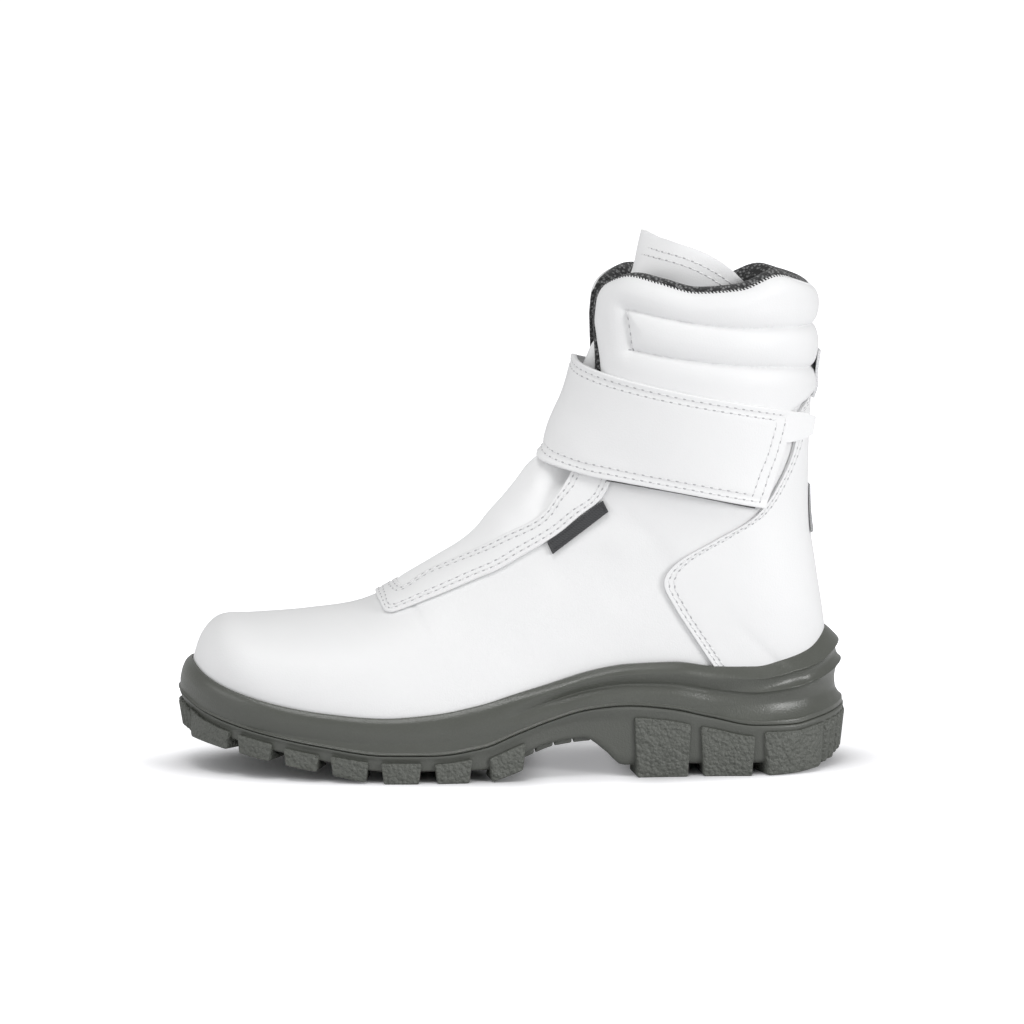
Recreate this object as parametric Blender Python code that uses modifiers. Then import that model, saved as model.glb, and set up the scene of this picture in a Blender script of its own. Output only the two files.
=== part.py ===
# Cold storage boot for the left foot: a padded white upper on a dark lugged sole.
# Toe towards -X, outer side towards -Y, floor at z = 0. Tables are in millimetres.
import math
from collections import namedtuple

import bmesh
import bpy
from mathutils import Vector

MM = 0.001
GAP = 0.45
OVERLAY_GAP = 0.9
RAND_GAP = 0.8
TRAY_GAP = 1.0
UPPER_WALL = 2.2
OVERLAY = 1.4
STRAP_THICKNESS = 2.2
TAB_THICKNESS = 1.8
TONGUE_THICKNESS = 2.6
INSOLE_THICKNESS = 4.0
LABEL_THICKNESS = 1.2
PAD_THICKNESS = 1.0
LOOP_THICKNESS = 1.4
REFLECTOR_THICKNESS = 0.9

LATERAL = -1
MEDIAL = 1
ROUNDING = 1e-6
# Short steps along and across the last, and round the sole, that normals are taken over.
STATION_STEP = 0.15
TURN_STEP = 0.02
ANGLE_STEP = 0.03
SHARP_DEG = 40.0

# Stations of the last, from the toe, round the heel, to the top of the leg. Each is a plane
# from a point on the front ridge to one on the keel (the feather edge, then the heel's back).
Station = namedtuple("Station", "front_x front_z keel_x keel_z ridge_y lateral medial widest "
                                "foot_lateral foot_medial crown heel")
STATIONS = (
    Station(-144.0, 29.0, -143.4, 27.5, 8.0, 5.0, 5.0, 0.70, 4.6, 4.6, 2.0, 2.0),
    Station(-145.4, 41.0, -140.0, 26.5, 8.0, 14.5, 13.0, 0.72, 13.5, 12.0, 2.1, 2.0),
    Station(-143.6, 52.0, -132.0, 25.0, 8.0, 27.0, 22.5, 0.74, 25.5, 21.0, 2.3, 2.0),
    Station(-139.4, 61.5, -120.0, 23.0, 8.0, 38.0, 30.5, 0.76, 36.5, 29.0, 2.4, 2.0),
    Station(-131.5, 68.0, -104.0, 20.7, 8.0, 46.5, 35.5, 0.77, 44.5, 34.0, 2.4, 2.0),
    Station(-116.0, 69.0, -84.0, 18.6, 7.5, 52.0, 38.5, 0.78, 50.0, 37.0, 2.3, 2.0),
    Station(-92.0, 71.0, -60.0, 17.2, 6.5, 55.0, 40.0, 0.79, 53.0, 38.5, 2.2, 2.0),
    Station(-66.0, 75.6, -32.0, 17.6, 5.0, 54.0, 38.5, 0.80, 52.0, 36.5, 2.1, 2.0),
    Station(-42.0, 88.5, 0.0, 21.0, 3.5, 50.0, 35.0, 0.80, 47.5, 32.0, 2.0, 2.0),
    Station(-20.0, 103.0, 32.0, 25.0, 2.0, 45.0, 34.5, 0.78, 41.5, 31.0, 1.95, 2.0),
    Station(-6.0, 118.5, 62.0, 28.0, 1.0, 41.5, 36.0, 0.74, 37.5, 32.0, 1.95, 2.0),
    Station(3.0, 130.5, 92.0, 30.2, 0.0, 39.5, 38.0, 0.68, 35.0, 33.5, 1.95, 2.0),
    Station(9.0, 139.0, 115.0, 31.5, 0.0, 39.0, 38.5, 0.63, 30.0, 29.5, 2.0, 2.0),
    Station(16.6, 145.6, 130.5, 32.2, 0.0, 39.0, 38.5, 0.59, 21.5, 21.5, 2.0, 2.0),
    Station(20.2, 151.6, 138.5, 32.8, 0.0, 39.0, 38.5, 0.57, 11.5, 11.5, 2.0, 2.0),
    Station(23.2, 158.4, 141.6, 33.3, 0.0, 39.0, 38.5, 0.56, 0.0, 0.0, 2.05, 2.1),
    Station(25.3, 164.3, 143.7, 46.0, 0.0, 39.0, 38.8, 0.56, 0.0, 0.0, 2.05, 2.15),
    Station(27.5, 170.0, 144.4, 63.0, 0.0, 39.0, 39.0, 0.55, 0.0, 0.0, 2.05, 2.15),
    Station(31.4, 181.0, 140.4, 90.0, 0.0, 39.5, 39.5, 0.54, 0.0, 0.0, 2.05, 2.15),
    Station(34.2, 190.5, 136.8, 115.0, 0.0, 40.0, 40.0, 0.53, 0.0, 0.0, 2.05, 2.15),
    Station(35.6, 199.5, 136.4, 141.0, 0.0, 41.0, 41.0, 0.53, 0.0, 0.0, 2.05, 2.15),
    Station(36.4, 208.0, 137.2, 167.0, 0.0, 42.0, 42.0, 0.53, 0.0, 0.0, 2.05, 2.15),
    Station(37.6, 217.0, 138.2, 192.0, 0.0, 43.0, 43.0, 0.52, 0.0, 0.0, 2.05, 2.15),
    Station(40.5, 227.0, 138.4, 215.0, 0.0, 43.5, 43.5, 0.52, 0.0, 0.0, 2.05, 2.15),
    Station(49.0, 239.0, 138.2, 237.0, 0.0, 43.5, 43.5, 0.52, 0.0, 0.0, 2.05, 2.15),
    Station(62.0, 255.0, 138.0, 260.0, 0.0, 43.0, 43.0, 0.52, 0.0, 0.0, 2.05, 2.15),
)
LAST_STATION = len(STATIONS) - 1
HEEL_STATION = 15

# Rows and columns of the upper: toe to throat, throat to heel, and up the leg.
UPPER_FIRST_STATION = 0.8
UPPER_ROWS_TOE = 12
UPPER_ROWS_THROAT = 12
UPPER_ROWS_LEG = 6
UPPER_COLUMNS = 10

# Heights along the sole: lug bottoms, sole between lugs, bottom of the cup that the
# midsole sits in, parting line on the side, and top edge of the rand.
Sole = namedtuple("Sole", "x tread base cup parting rand")
SOLE = (
    Sole(-152, 15.8, 20.0, 23.0, 35.5, 50.5),
    Sole(-142, 14.3, 19.0, 22.0, 28.3, 44.0),
    Sole(-130, 12.3, 17.0, 20.0, 24.3, 39.5),
    Sole(-110, 8.4, 13.2, 16.4, 19.8, 34.6),
    Sole(-88, 4.6, 9.6, 12.8, 16.1, 31.4),
    Sole(-58, 0.0, 5.2, 9.4, 12.5, 29.4),
    Sole(-35, 0.0, 5.2, 9.4, 12.4, 30.9),
    Sole(-12, 0.0, 5.2, 10.4, 15.4, 34.8),
    Sole(4, 4.0, 10.5, 14.5, 21.2, 39.3),
    Sole(20, 12.0, 16.5, 18.5, 26.8, 43.7),
    Sole(38, 14.0, 18.5, 20.5, 31.4, 48.9),
    Sole(48, 8.0, 12.5, 20.0, 32.5, 50.9),
    Sole(57, 0.0, 5.5, 19.0, 33.0, 52.0),
    Sole(80, 0.0, 5.5, 19.0, 31.0, 52.6),
    Sole(100, 0.0, 5.5, 19.0, 26.8, 50.2),
    Sole(120, 0.0, 5.5, 18.5, 23.0, 49.6),
    Sole(135, 0.6, 5.9, 18.5, 22.9, 52.2),
    Sole(146, 2.4, 7.4, 18.5, 25.0, 55.2),
    Sole(156, 6.0, 10.0, 18.5, 27.6, 61.0),
)

# Side of the midsole, from the parting line (0) to the rand's top edge (1): how far it
# stands out from the upper at the forefoot, at the waist and round the heel.
Wall = namedtuple("Wall", "level fore waist heel")
SIDE_WALL = (
    Wall(0.00, 5.6, 5.2, 13.0),
    Wall(0.12, 5.3, 5.0, 12.6),
    Wall(0.32, 4.7, 4.1, 8.4),
    Wall(0.45, 4.3, 2.8, 9.4),
    Wall(0.57, 4.1, 3.5, 10.2),
    Wall(0.69, 3.9, 3.9, 7.2),
    Wall(0.83, 3.8, 4.2, 8.2),
    Wall(0.94, 3.4, 3.6, 6.2),
    Wall(1.00, 2.5, 2.5, 2.7),
)
WAIST_SPAN = (-10.0, 35.0)
HEEL_SPAN = (100.0, 146.0)

# Side of the outsole, from the sole between the lugs (0) to the parting line (1).
Rim = namedtuple("Rim", "level out")
OUTSOLE_SIDE = (Rim(0.0, -2.4), Rim(0.10, -1.0), Rim(0.70, -0.5), Rim(0.92, 0.4), Rim(1.0, 0.4))
CUP_WALL = 1.8
# Inside of the midsole's tray, from the rand's top edge (1) down to its floor (0).
TRAY = (Rim(1.0, 0.5), Rim(0.7, 1.1), Rim(0.35, 1.3), Rim(0.0, 1.3))
# Edge of the insole, from its underside (0) to its top (1), off the upper's inside.
INSOLE_EDGE = (Rim(0.0, -2.8), Rim(0.35, -1.6), Rim(1.0, -1.6))
SOLE_STEPS = 60
FLOOR_CLEAR = 1.0
SOLE_FRONT = -151.2
SOLE_REAR = 155.2

# Side lugs, given on the outer edge: where each starts and ends, and its top below the parting.
Lug = namedtuple("Lug", "start end drop reach")
SIDE_LUGS = (
    Lug(-149.5, -129.5, 4.8, 12.0),
    Lug(-125.8, -110.5, 3.2, 17.0),
    Lug(-105.1, -88.9, 3.6, 17.0),
    Lug(-83.5, -65.9, 3.0, 17.0),
    Lug(-60.1, -41.2, 3.0, 17.0),
    Lug(-35.0, -17.4, 3.4, 17.0),
    Lug(-9.1, 8.5, 5.2, 15.0),
    Lug(62.2, 90.2, 5.2, 18.0),
    Lug(95.1, 119.2, 4.8, 18.0),
    Lug(123.2, 152.5, 2.8, 18.0),
)
LUG_PROUD = 1.7
LUG_TOP_PROUD = 1.0
LUG_PLATE = 1.26
LUG_SLOPE = 1.0
LUG_ROUND = 1.05
LUG_DRAFT = 1.2
LUG_BURY = 1.6
LUG_EDGE = 1.5
LUG_ROOT = 2.6
LUG_STEP = 0.15
BLOCK_TAPER = 0.86
Block = namedtuple("Block", "x y length width")
TREAD_BLOCKS = (
    Block(-116, 22, 14, 18), Block(-116, -8, 14, 18),
    Block(-94, 21, 14, 18), Block(-94, -13, 14, 18),
    Block(-72, 18, 14, 18), Block(-72, -16, 14, 18),
    Block(-50, 16, 14, 18), Block(-50, -17, 14, 18),
    Block(-28, 12, 14, 18), Block(-28, -16, 14, 18),
    Block(76, 0, 16, 20), Block(100, 0, 16, 20), Block(124, 0, 14, 18),
)

# Throat band, from under the strap down to the toe end of the throat: its inner edge,
# where the upper is open, and its outer edge, both in side view.
Band = namedtuple("Band", "inner_x inner_z outer_x outer_z")
THROAT_BAND = (
    Band(37.5, 175.0, 52.0, 160.0),
    Band(34.0, 153.0, 48.5, 145.0),
    Band(28.5, 137.0, 45.4, 135.5),
    Band(21.5, 126.5, 37.5, 123.5),
    Band(12.5, 116.0, 20.0, 110.8),
    Band(-4.0, 106.8, -1.0, 97.0),
    Band(-20.0, 98.0, -16.5, 88.8),
    Band(-36.0, 90.0, -33.0, 81.2),
    Band(-46.5, 82.8, -51.5, 73.0),
)
THROAT_TOE_X = -50.0
BAND_TOE_X = -60.0

# Heel counter: its front edge in side view, and the height where that line meets the back.
Counter = namedtuple("Counter", "front_x front_z back_z sag")
COUNTER = (
    Counter(93.5, 49.0, 57.0, 2.6),
    Counter(83.5, 64.0, 73.0, 1.8),
    Counter(74.0, 78.5, 83.0, 1.3),
    Counter(69.2, 89.5, 92.0, 1.0),
    Counter(76.0, 98.6, 101.0, 1.0),
    Counter(94.0, 109.0, 112.0, 1.0),
    Counter(110.0, 119.5, 125.0, 1.0),
    Counter(115.5, 138.0, 146.0, 1.0),
    Counter(119.5, 162.2, 173.2, 1.3),
)

# Collar, along its length in side view: its lower seam, two roll seams and top edge.
Collar = namedtuple("Collar", "x seam lower_roll upper_roll top")
COLLAR = (
    Collar(36, 176.0, 195.0, 206.0, 214.0),
    Collar(41, 175.0, 195.0, 209.5, 221.0),
    Collar(53, 171.0, 194.3, 212.0, 228.5),
    Collar(66, 167.5, 192.0, 209.6, 226.0),
    Collar(84, 164.5, 189.5, 206.5, 222.0),
    Collar(103, 162.5, 187.5, 204.7, 223.2),
    Collar(120, 163.0, 186.3, 204.2, 229.0),
    Collar(130, 168.5, 185.0, 203.7, 226.0),
    Collar(140, 174.0, 183.4, 203.3, 221.5),
)
# Section of the padded collar: height in rolls (0 seam, 1 and 2 roll seams, 3 top) and offset.
Pad = namedtuple("Pad", "roll out")
COLLAR_PAD = (
    Pad(0.0, 0.2), Pad(0.25, 2.1), Pad(0.5, 3.0), Pad(0.75, 2.2), Pad(1.0, 0.3),
    Pad(1.25, 2.3), Pad(1.5, 3.3), Pad(1.75, 2.3), Pad(2.0, 0.3), Pad(2.2, 2.2),
    Pad(2.5, 3.3), Pad(2.8, 1.9), Pad(3.0, -2.0), Pad(2.93, -5.2), Pad(2.6, -7.3),
    Pad(1.6, -7.8), Pad(0.8, -7.8), Pad(0.0, -6.6),
)
COLLAR_LINES = (("seam", 170.0), ("lower_roll", 190.0), ("upper_roll", 207.0), ("top", 225.0))
COLLAR_FRONT_DEG = 21.0
COLLAR_STEPS = 30
FULL_ROLL = 15.0
COLLAR_LIFT = 0.9
# The rolls' fullness in the first sections at each end, and how far in an empty end stands.
COLLAR_ENDS = (0.62, 0.9)
COLLAR_END_DEPTH = 1.2

# Strap, by angle round the leg (0 front, outer side positive): edges and distance off the upper.
Strap = namedtuple("Strap", "low_deg top_deg low_z top_z low_out top_out")
STRAP = (
    Strap(-100.0, -106.0, 130.0, 175.0, 2.8, 4.2),
    Strap(-60.0, -60.0, 136.0, 181.0, 2.8, 4.2),
    Strap(-28.0, -28.0, 139.8, 185.4, 2.7, 4.4),
    Strap(0.0, 0.0, 143.6, 188.0, 1.0, 1.8),
    Strap(28.0, 28.0, 139.6, 185.0, 2.7, 4.4),
    Strap(60.0, 60.0, 135.6, 180.3, 2.8, 4.2),
    Strap(95.0, 95.0, 130.4, 174.0, 3.0, 4.2),
    Strap(132.0, 142.0, 122.0, 165.8, 3.2, 3.4),
)
STRAP_TAB = (
    Strap(143.4, 143.0, 152.0, 165.0, 3.2, 3.4),
    Strap(153.0, 153.5, 152.8, 164.0, 3.8, 3.9),
    Strap(159.0, 161.0, 154.2, 162.4, 5.2, 5.2),
)
FASTENING_PAD = (
    Strap(83.0, 83.0, 131.2, 160.0, 0.5, 0.5),
    Strap(104.0, 104.0, 127.8, 158.0, 0.5, 0.5),
    Strap(119.0, 117.0, 123.8, 156.0, 0.5, 0.5),
)
REFLECTOR = (
    Strap(169.5, 169.5, 107.0, 130.0, 2.9, 2.9),
    Strap(190.5, 190.5, 107.0, 130.0, 2.9, 2.9),
)
PULL_LOOP = (
    Strap(169.0, 169.0, 169.5, 191.0, 3.0, 4.2),
    Strap(191.0, 191.0, 169.5, 191.0, 3.0, 4.2),
)
LABEL_CORNERS = ((17.0, 105.8), (42.1, 125.0), (44.4, 120.2), (19.3, 100.8))

# Tongue: half width as a share of the station, depth under the last's surface in the middle
# and at the wings, and the share of the width where it reaches that depth.
Tongue = namedtuple("Tongue", "station half_width middle wing shoulder")
TONGUE = (
    Tongue(7.3, 0.17, 4.0, 4.0, 0.60),
    Tongue(7.9, 0.24, 3.8, 4.0, 0.50),
    Tongue(8.6, 0.32, 2.2, 4.0, 0.45),
    Tongue(9.4, 0.37, 0.8, 4.0, 0.55),
    Tongue(11.0, 0.42, 0.6, 4.0, 0.60),
    Tongue(13.5, 0.42, 0.6, 5.0, 0.48),
    Tongue(17.0, 0.42, 1.2, 9.2, 0.28),
    Tongue(19.0, 0.45, 2.4, 9.4, 0.24),
    Tongue(21.0, 0.50, 6.5, 9.6, 0.24),
    Tongue(23.0, 0.54, 13.0, 9.8, 0.24),
    Tongue(24.7, 0.62, 5.0, 9.8, 0.24),
)
TONGUE_WING_STATION = 23.5
TONGUE_SPREAD = 0.45
TONGUE_FLAT = 0.2

COLOURS = {
    "outsole": (0.060, 0.064, 0.062, 0.62),
    "midsole": (0.085, 0.090, 0.086, 0.58),
    "upper": (0.82, 0.82, 0.83, 0.55),
    "insole": (0.10, 0.10, 0.11, 0.90),
    "tongue": (0.80, 0.80, 0.81, 0.60),
    "throat_band": (0.83, 0.83, 0.84, 0.52),
    "counter": (0.83, 0.83, 0.84, 0.52),
    "collar": (0.78, 0.78, 0.80, 0.60),
    "strap": (0.83, 0.83, 0.84, 0.52),
    "strap_tab": (0.80, 0.80, 0.81, 0.55),
    "fastening_pad": (0.16, 0.16, 0.17, 0.90),
    "side_label": (0.10, 0.10, 0.11, 0.60),
    "pull_loop": (0.80, 0.80, 0.81, 0.60),
    "reflector": (0.32, 0.33, 0.34, 0.40),
}


def clamp(value, low, high):
    return max(low, min(high, value))


def ease(value, span):
    t = clamp((value - span[0]) / (span[1] - span[0]), 0.0, 1.0)
    return t * t * (3.0 - 2.0 * t)


def through(rows, position):
    # Smooth curve through equally spaced rows of numbers.
    position = clamp(position, 0.0, len(rows) - 1.0)
    i = min(int(position), len(rows) - 2)
    t = position - i
    b, c = rows[i], rows[i + 1]
    a = rows[i - 1] if i else [2 * p - q for p, q in zip(b, c)]
    d = rows[i + 2] if i + 2 < len(rows) else [2 * q - p for p, q in zip(b, c)]
    return [0.5 * (2 * q + (r - p) * t + (2 * p - 5 * q + 4 * r - s) * t * t
                   + (3 * q - p - 3 * r + s) * t ** 3)
            for p, q, r, s in zip(a, b, c, d)]


def along(rows, key, column):
    # Curve without overshoot through one column of a table, against its first column.
    xs = [row[0] for row in rows]
    ys = [getattr(row, column) for row in rows]
    if key <= xs[0]:
        return ys[0]
    if key >= xs[-1]:
        return ys[-1]
    i = max(k for k in range(len(xs) - 1) if xs[k] <= key)
    steps = [(ys[k + 1] - ys[k]) / (xs[k + 1] - xs[k]) for k in range(len(xs) - 1)]

    def slope(k):
        if k in (0, len(xs) - 1):
            return steps[min(k, len(steps) - 1)]
        before, after = steps[k - 1], steps[k]
        return 0.0 if before * after <= 0 else 2 * before * after / (before + after)

    h = xs[i + 1] - xs[i]
    t = (key - xs[i]) / h
    return (ys[i] * (1 + 2 * t) * (1 - t) ** 2 + h * slope(i) * t * (1 - t) ** 2
            + ys[i + 1] * t * t * (3 - 2 * t) + h * slope(i + 1) * t * t * (t - 1))


def solve(function, low, high):
    # Where a function changes sign between two values.
    positive = function(low) > 0
    if (function(high) > 0) == positive:
        return min(low, high, key=lambda end: abs(function(end)))
    for _ in range(34):
        middle = 0.5 * (low + high)
        if (function(middle) > 0) == positive:
            low = middle
        else:
            high = middle
    return 0.5 * (low + high)


def station(position):
    return Station(*through(STATIONS, position))


def last_point(position, turn):
    # The last's surface. turn runs from -1 (outer feather or heel's back) over the ridge (0) to 1.
    if abs(turn) > 1.0 + ROUNDING:
        turn -= math.copysign(2.0, turn)
    turn = clamp(turn, -1.0, 1.0)
    row = station(position)
    side = MEDIAL if turn > 0 else LATERAL
    down = 0.5 - 0.5 * math.cos(math.pi * abs(turn))
    full, foot = (row.medial, row.foot_medial) if turn > 0 else (row.lateral, row.foot_lateral)
    if down < row.widest:
        rest = clamp(1.0 - down / row.widest, 0.0, 1.0)
        width = full * (1.0 - rest ** row.crown) ** (1.0 / row.crown)
    else:
        rest = clamp((down - row.widest) / (1.0 - row.widest), 0.0, 1.0)
        foot = max(foot, 0.0)
        power = 1.0 / row.heel + (1.0 - 1.0 / row.heel) * foot / full
        width = foot + (full - foot) * (1.0 - rest ** row.heel) ** power
    return Vector((row.front_x + down * (row.keel_x - row.front_x), row.ridge_y + side * width,
                   row.front_z + down * (row.keel_z - row.front_z)))


def skin(position, turn, out=0.0):
    # A point of the last's surface, moved outwards along its normal.
    point = last_point(position, turn)
    if out == 0.0:
        return point
    closed = position >= HEEL_STATION
    low, high = turn - TURN_STEP, turn + TURN_STEP
    if not closed:
        low, high = max(low, -1.0), min(high, 1.0)
    ahead = last_point(min(position + STATION_STEP, LAST_STATION), turn)
    behind = last_point(max(position - STATION_STEP, 0.0), turn)
    across = last_point(position, high) - last_point(position, low)
    normal = (ahead - behind).cross(across).normalized()
    return point + normal * out


def locate(x, z, side):
    # Station and turn of the surface point that shows at x, z in side view.
    def offside(position):
        row = station(position)
        return ((x - row.front_x) * (row.keel_z - row.front_z)
                - (z - row.front_z) * (row.keel_x - row.front_x))

    position = solve(offside, 0.0, LAST_STATION)
    row = station(position)
    dx, dz = row.keel_x - row.front_x, row.keel_z - row.front_z
    down = clamp(((x - row.front_x) * dx + (z - row.front_z) * dz) / (dx * dx + dz * dz), 0.0, 1.0)
    return position, side * math.acos(1.0 - 2.0 * down) / math.pi


def side_skin(x, z, side, out=0.0):
    position, turn = locate(x, z, side)
    return skin(position, turn, out)


def front_x(z):
    if z <= STATIONS[0].front_z:
        return STATIONS[0].front_x
    position = solve(lambda p: station(p).front_z - z, 0.0, LAST_STATION)
    return station(position).front_x


def ridge_station(x):
    return solve(lambda p: station(p).front_x - x, 1.0, LAST_STATION)


def back_x(z):
    if z <= STATIONS[HEEL_STATION].keel_z:
        return STATIONS[HEEL_STATION].keel_x
    position = solve(lambda p: station(p).keel_z - z, HEEL_STATION, LAST_STATION)
    return station(position).keel_x


def level_skin(z, angle, out=0.0):
    # A point on a level section of the last: angle 0 at the front, a half turn at the back.
    angle = angle % math.tau
    front, back = front_x(z), back_x(z)
    x = 0.5 * (front + back) - 0.5 * (back - front) * math.cos(angle)
    return side_skin(x, z, LATERAL if angle <= math.pi else MEDIAL, out)


def floor_height(x):
    # Height of the feather edge, against x along the sole's own outer edge.
    Keel = namedtuple("Keel", "x z")
    rows = [Keel(sole_x(last_angle(row.keel_x)), row.keel_z) for row in STATIONS[:HEEL_STATION + 1]]
    return along(rows, x, "z")


def throat_turn(position):
    # Half opening of the throat at a station, 0 ahead of it.
    return along(throat_edge, position, "turn")


def new_object(name, mesh):
    red, green, blue, roughness = COLOURS[name]
    material = bpy.data.materials.new(name)
    material.use_nodes = True
    shader = material.node_tree.nodes["Principled BSDF"]
    shader.inputs["Base Color"].default_value = (red, green, blue, 1.0)
    shader.inputs["Roughness"].default_value = roughness
    mesh.materials.append(material)
    piece = bpy.data.objects.new(name, mesh)
    boot.objects.link(piece)
    return piece


def finish_mesh(name, bm):
    bmesh.ops.remove_doubles(bm, verts=bm.verts, dist=1e-3)
    bmesh.ops.recalc_face_normals(bm, faces=bm.faces)
    bmesh.ops.triangulate(bm, faces=[face for face in bm.faces if len(face.verts) > 3])
    bmesh.ops.scale(bm, vec=(MM, MM, MM), verts=bm.verts)
    mesh = bpy.data.meshes.new(name)
    bm.to_mesh(mesh)
    bm.free()
    mesh.shade_smooth()
    mesh.set_sharp_from_angle(angle=math.radians(SHARP_DEG))
    return mesh


def sheet(name, place, rows, columns, thickness):
    # A patch that follows place(s, t, out), thickened outwards.
    bm = bmesh.new()
    bmesh.ops.create_grid(bm, x_segments=rows, y_segments=columns, size=0.5)
    for vertex in bm.verts:
        vertex.co = place(vertex.co.x + 0.5, vertex.co.y + 0.5, 0.0)
    bm.normal_update()
    lift = place(0.5, 0.5, 1.0) - place(0.5, 0.5, 0.0)
    middle = min(bm.faces, key=lambda f: (f.calc_center_median() - place(0.5, 0.5, 0.0)).length)
    if middle.normal.dot(lift) < 0:
        bmesh.ops.reverse_faces(bm, faces=bm.faces)
    bmesh.ops.scale(bm, vec=(MM, MM, MM), verts=bm.verts)
    mesh = bpy.data.meshes.new(name)
    bm.to_mesh(mesh)
    bm.free()
    mesh.shade_smooth()
    piece = new_object(name, mesh)
    shell = piece.modifiers.new("thickness", "SOLIDIFY")
    shell.thickness = thickness * MM
    shell.offset = 1.0
    shell.use_even_offset = True
    return piece


def loft(bm, loops, ring):
    # Faces through loops of equal length. Rings get caps across, open lofts flat ends.
    rows = [[bm.verts.new(point) for point in loop] for loop in loops]
    count = len(rows[0])
    for near, far in zip(rows, rows[1:]):
        for i in range(count):
            j = (i + 1) % count
            bm.faces.new((near[i], near[j], far[j], far[i]))
    for row in (rows[0], rows[-1]):
        if not ring:
            bm.faces.new(row)
            continue
        for i in range(count // 2):
            corners = [row[i], row[i + 1], row[(count - i - 1) % count], row[(count - i) % count]]
            bm.faces.new(list(dict.fromkeys(corners)))
    bmesh.ops.recalc_face_normals(bm, faces=bm.faces)


def sole_angles():
    return [math.tau * i / SOLE_STEPS for i in range(SOLE_STEPS)]


def sole_x(angle):
    return 0.5 * (SOLE_FRONT + SOLE_REAR) - 0.5 * (SOLE_REAR - SOLE_FRONT) * math.cos(angle)


def last_angle(x):
    front, back = STATIONS[1].front_x, STATIONS[HEEL_STATION + 2].keel_x
    return math.acos(clamp((0.5 * (front + back) - x) / (0.5 * (back - front)), -1.0, 1.0))


def sole_point(angle, z, out):
    # A point at height z, out from the upper's plan outline at that height.
    level = max(z, floor_height(sole_x(angle)) + FLOOR_CLEAR)
    point = level_skin(level, angle)
    run = level_skin(level, angle + ANGLE_STEP) - level_skin(level, angle - ANGLE_STEP)
    outwards = Vector((-run.y, run.x, 0.0)).normalized()
    if outwards.dot(Vector((-math.cos(angle), -math.sin(angle), 0.0))) < 0:
        outwards.negate()
    return Vector((point.x, point.y, 0.0)) + outwards * out + Vector((0.0, 0.0, z))


def wall_out(angle, row):
    x = sole_x(angle)
    heel = ease(x, HEEL_SPAN)
    waist = ease(x, WAIST_SPAN) * (1.0 - heel)
    return row.heel * heel + row.waist * waist + row.fore * (1.0 - heel - waist)


def sole_ring(height, out):
    return [sole_point(angle, height(sole_x(angle)), out(angle)) for angle in sole_angles()]


def sole_height(column, shift=0.0):
    return lambda x: along(SOLE, x, column) + shift


def edge_out(shift):
    return lambda angle: wall_out(angle, SIDE_WALL[0]) + shift


def rise(low, high, level):
    return lambda x: along(SOLE, x, low) + level * (along(SOLE, x, high) - along(SOLE, x, low))


def make_midsole():
    rings = [sole_ring(sole_height("cup", GAP), edge_out(-CUP_WALL - GAP)),
             sole_ring(sole_height("parting", GAP), edge_out(-CUP_WALL - GAP))]
    for row in SIDE_WALL:
        rings.append(sole_ring(lambda x, level=row.level: rise("parting", "rand", level)(x)
                               + GAP * (1.0 - level),
                               lambda angle, row=row: wall_out(angle, row)))
    for row in TRAY:
        rings.append(sole_ring(
            lambda x, level=row.level: floor_height(x) - TRAY_GAP
            + level * (along(SOLE, x, "rand") - floor_height(x) + TRAY_GAP),
            lambda angle, row=row: row.out))
    bm = bmesh.new()
    loft(bm, rings, ring=True)
    new_object("midsole", finish_mesh("midsole", bm))


def lug_section(angle, lug, tuck):
    # Upright section of a side lug: a plate on the sole's side and a foot under it.
    x = sole_x(angle)
    edge = wall_out(angle, SIDE_WALL[0])
    tread, base = along(SOLE, x, "tread"), along(SOLE, x, "base")
    top = along(SOLE, x, "parting") - lug.drop
    outline = ((edge + LUG_TOP_PROUD, top), (edge + LUG_PROUD, tread + LUG_EDGE),
               (edge + LUG_PROUD - LUG_ROUND, tread), (edge - lug.reach, tread),
               (edge - lug.reach, base + LUG_BURY), (edge - LUG_ROOT, base + LUG_BURY),
               (edge - LUG_PLATE, top - LUG_SLOPE))
    return [sole_point(angle + (tuck if z < base else 0.0), z, out) for out, z in outline]


def lug_angle(x):
    middle, half = 0.5 * (SOLE_FRONT + SOLE_REAR), 0.5 * (SOLE_REAR - SOLE_FRONT)
    return math.acos(clamp((middle - x) / half, -1.0, 1.0))


def make_outsole():
    rings = [sole_ring(rise("base", "parting", row.level), edge_out(row.out)) for row in OUTSOLE_SIDE]
    rings.append(sole_ring(sole_height("parting"), edge_out(-CUP_WALL)))
    rings.append(sole_ring(sole_height("cup"), edge_out(-CUP_WALL)))
    bm = bmesh.new()
    loft(bm, rings, ring=True)
    outsole = new_object("outsole", finish_mesh("outsole", bm))
    for side in (LATERAL, MEDIAL):
        for lug in SIDE_LUGS:
            first, last = lug_angle(lug.start), lug_angle(lug.end)
            steps = max(1, round((last - first) / LUG_STEP))
            tuck = LUG_DRAFT / (0.5 * (SOLE_REAR - SOLE_FRONT))
            sections = []
            for k in range(steps + 1):
                angle = first + (last - first) * k / steps
                lean = tuck if k == 0 else -tuck if k == steps else 0.0
                sections.append(lug_section(-side * angle, lug, -side * lean))
            part = bmesh.new()
            loft(part, sections, ring=False)
            add_lug(outsole, part)
    for block in TREAD_BLOCKS:
        part = bmesh.new()
        bmesh.ops.create_cube(part, size=1.0)
        for vertex in part.verts:
            narrow = 1.0 if vertex.co.z > 0 else BLOCK_TAPER
            x = block.x + block.length * narrow * vertex.co.x
            z = along(SOLE, x, "base") + LUG_BURY if vertex.co.z > 0 else along(SOLE, x, "tread")
            vertex.co = (x, block.y + block.width * narrow * vertex.co.y, z)
        add_lug(outsole, part)


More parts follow.
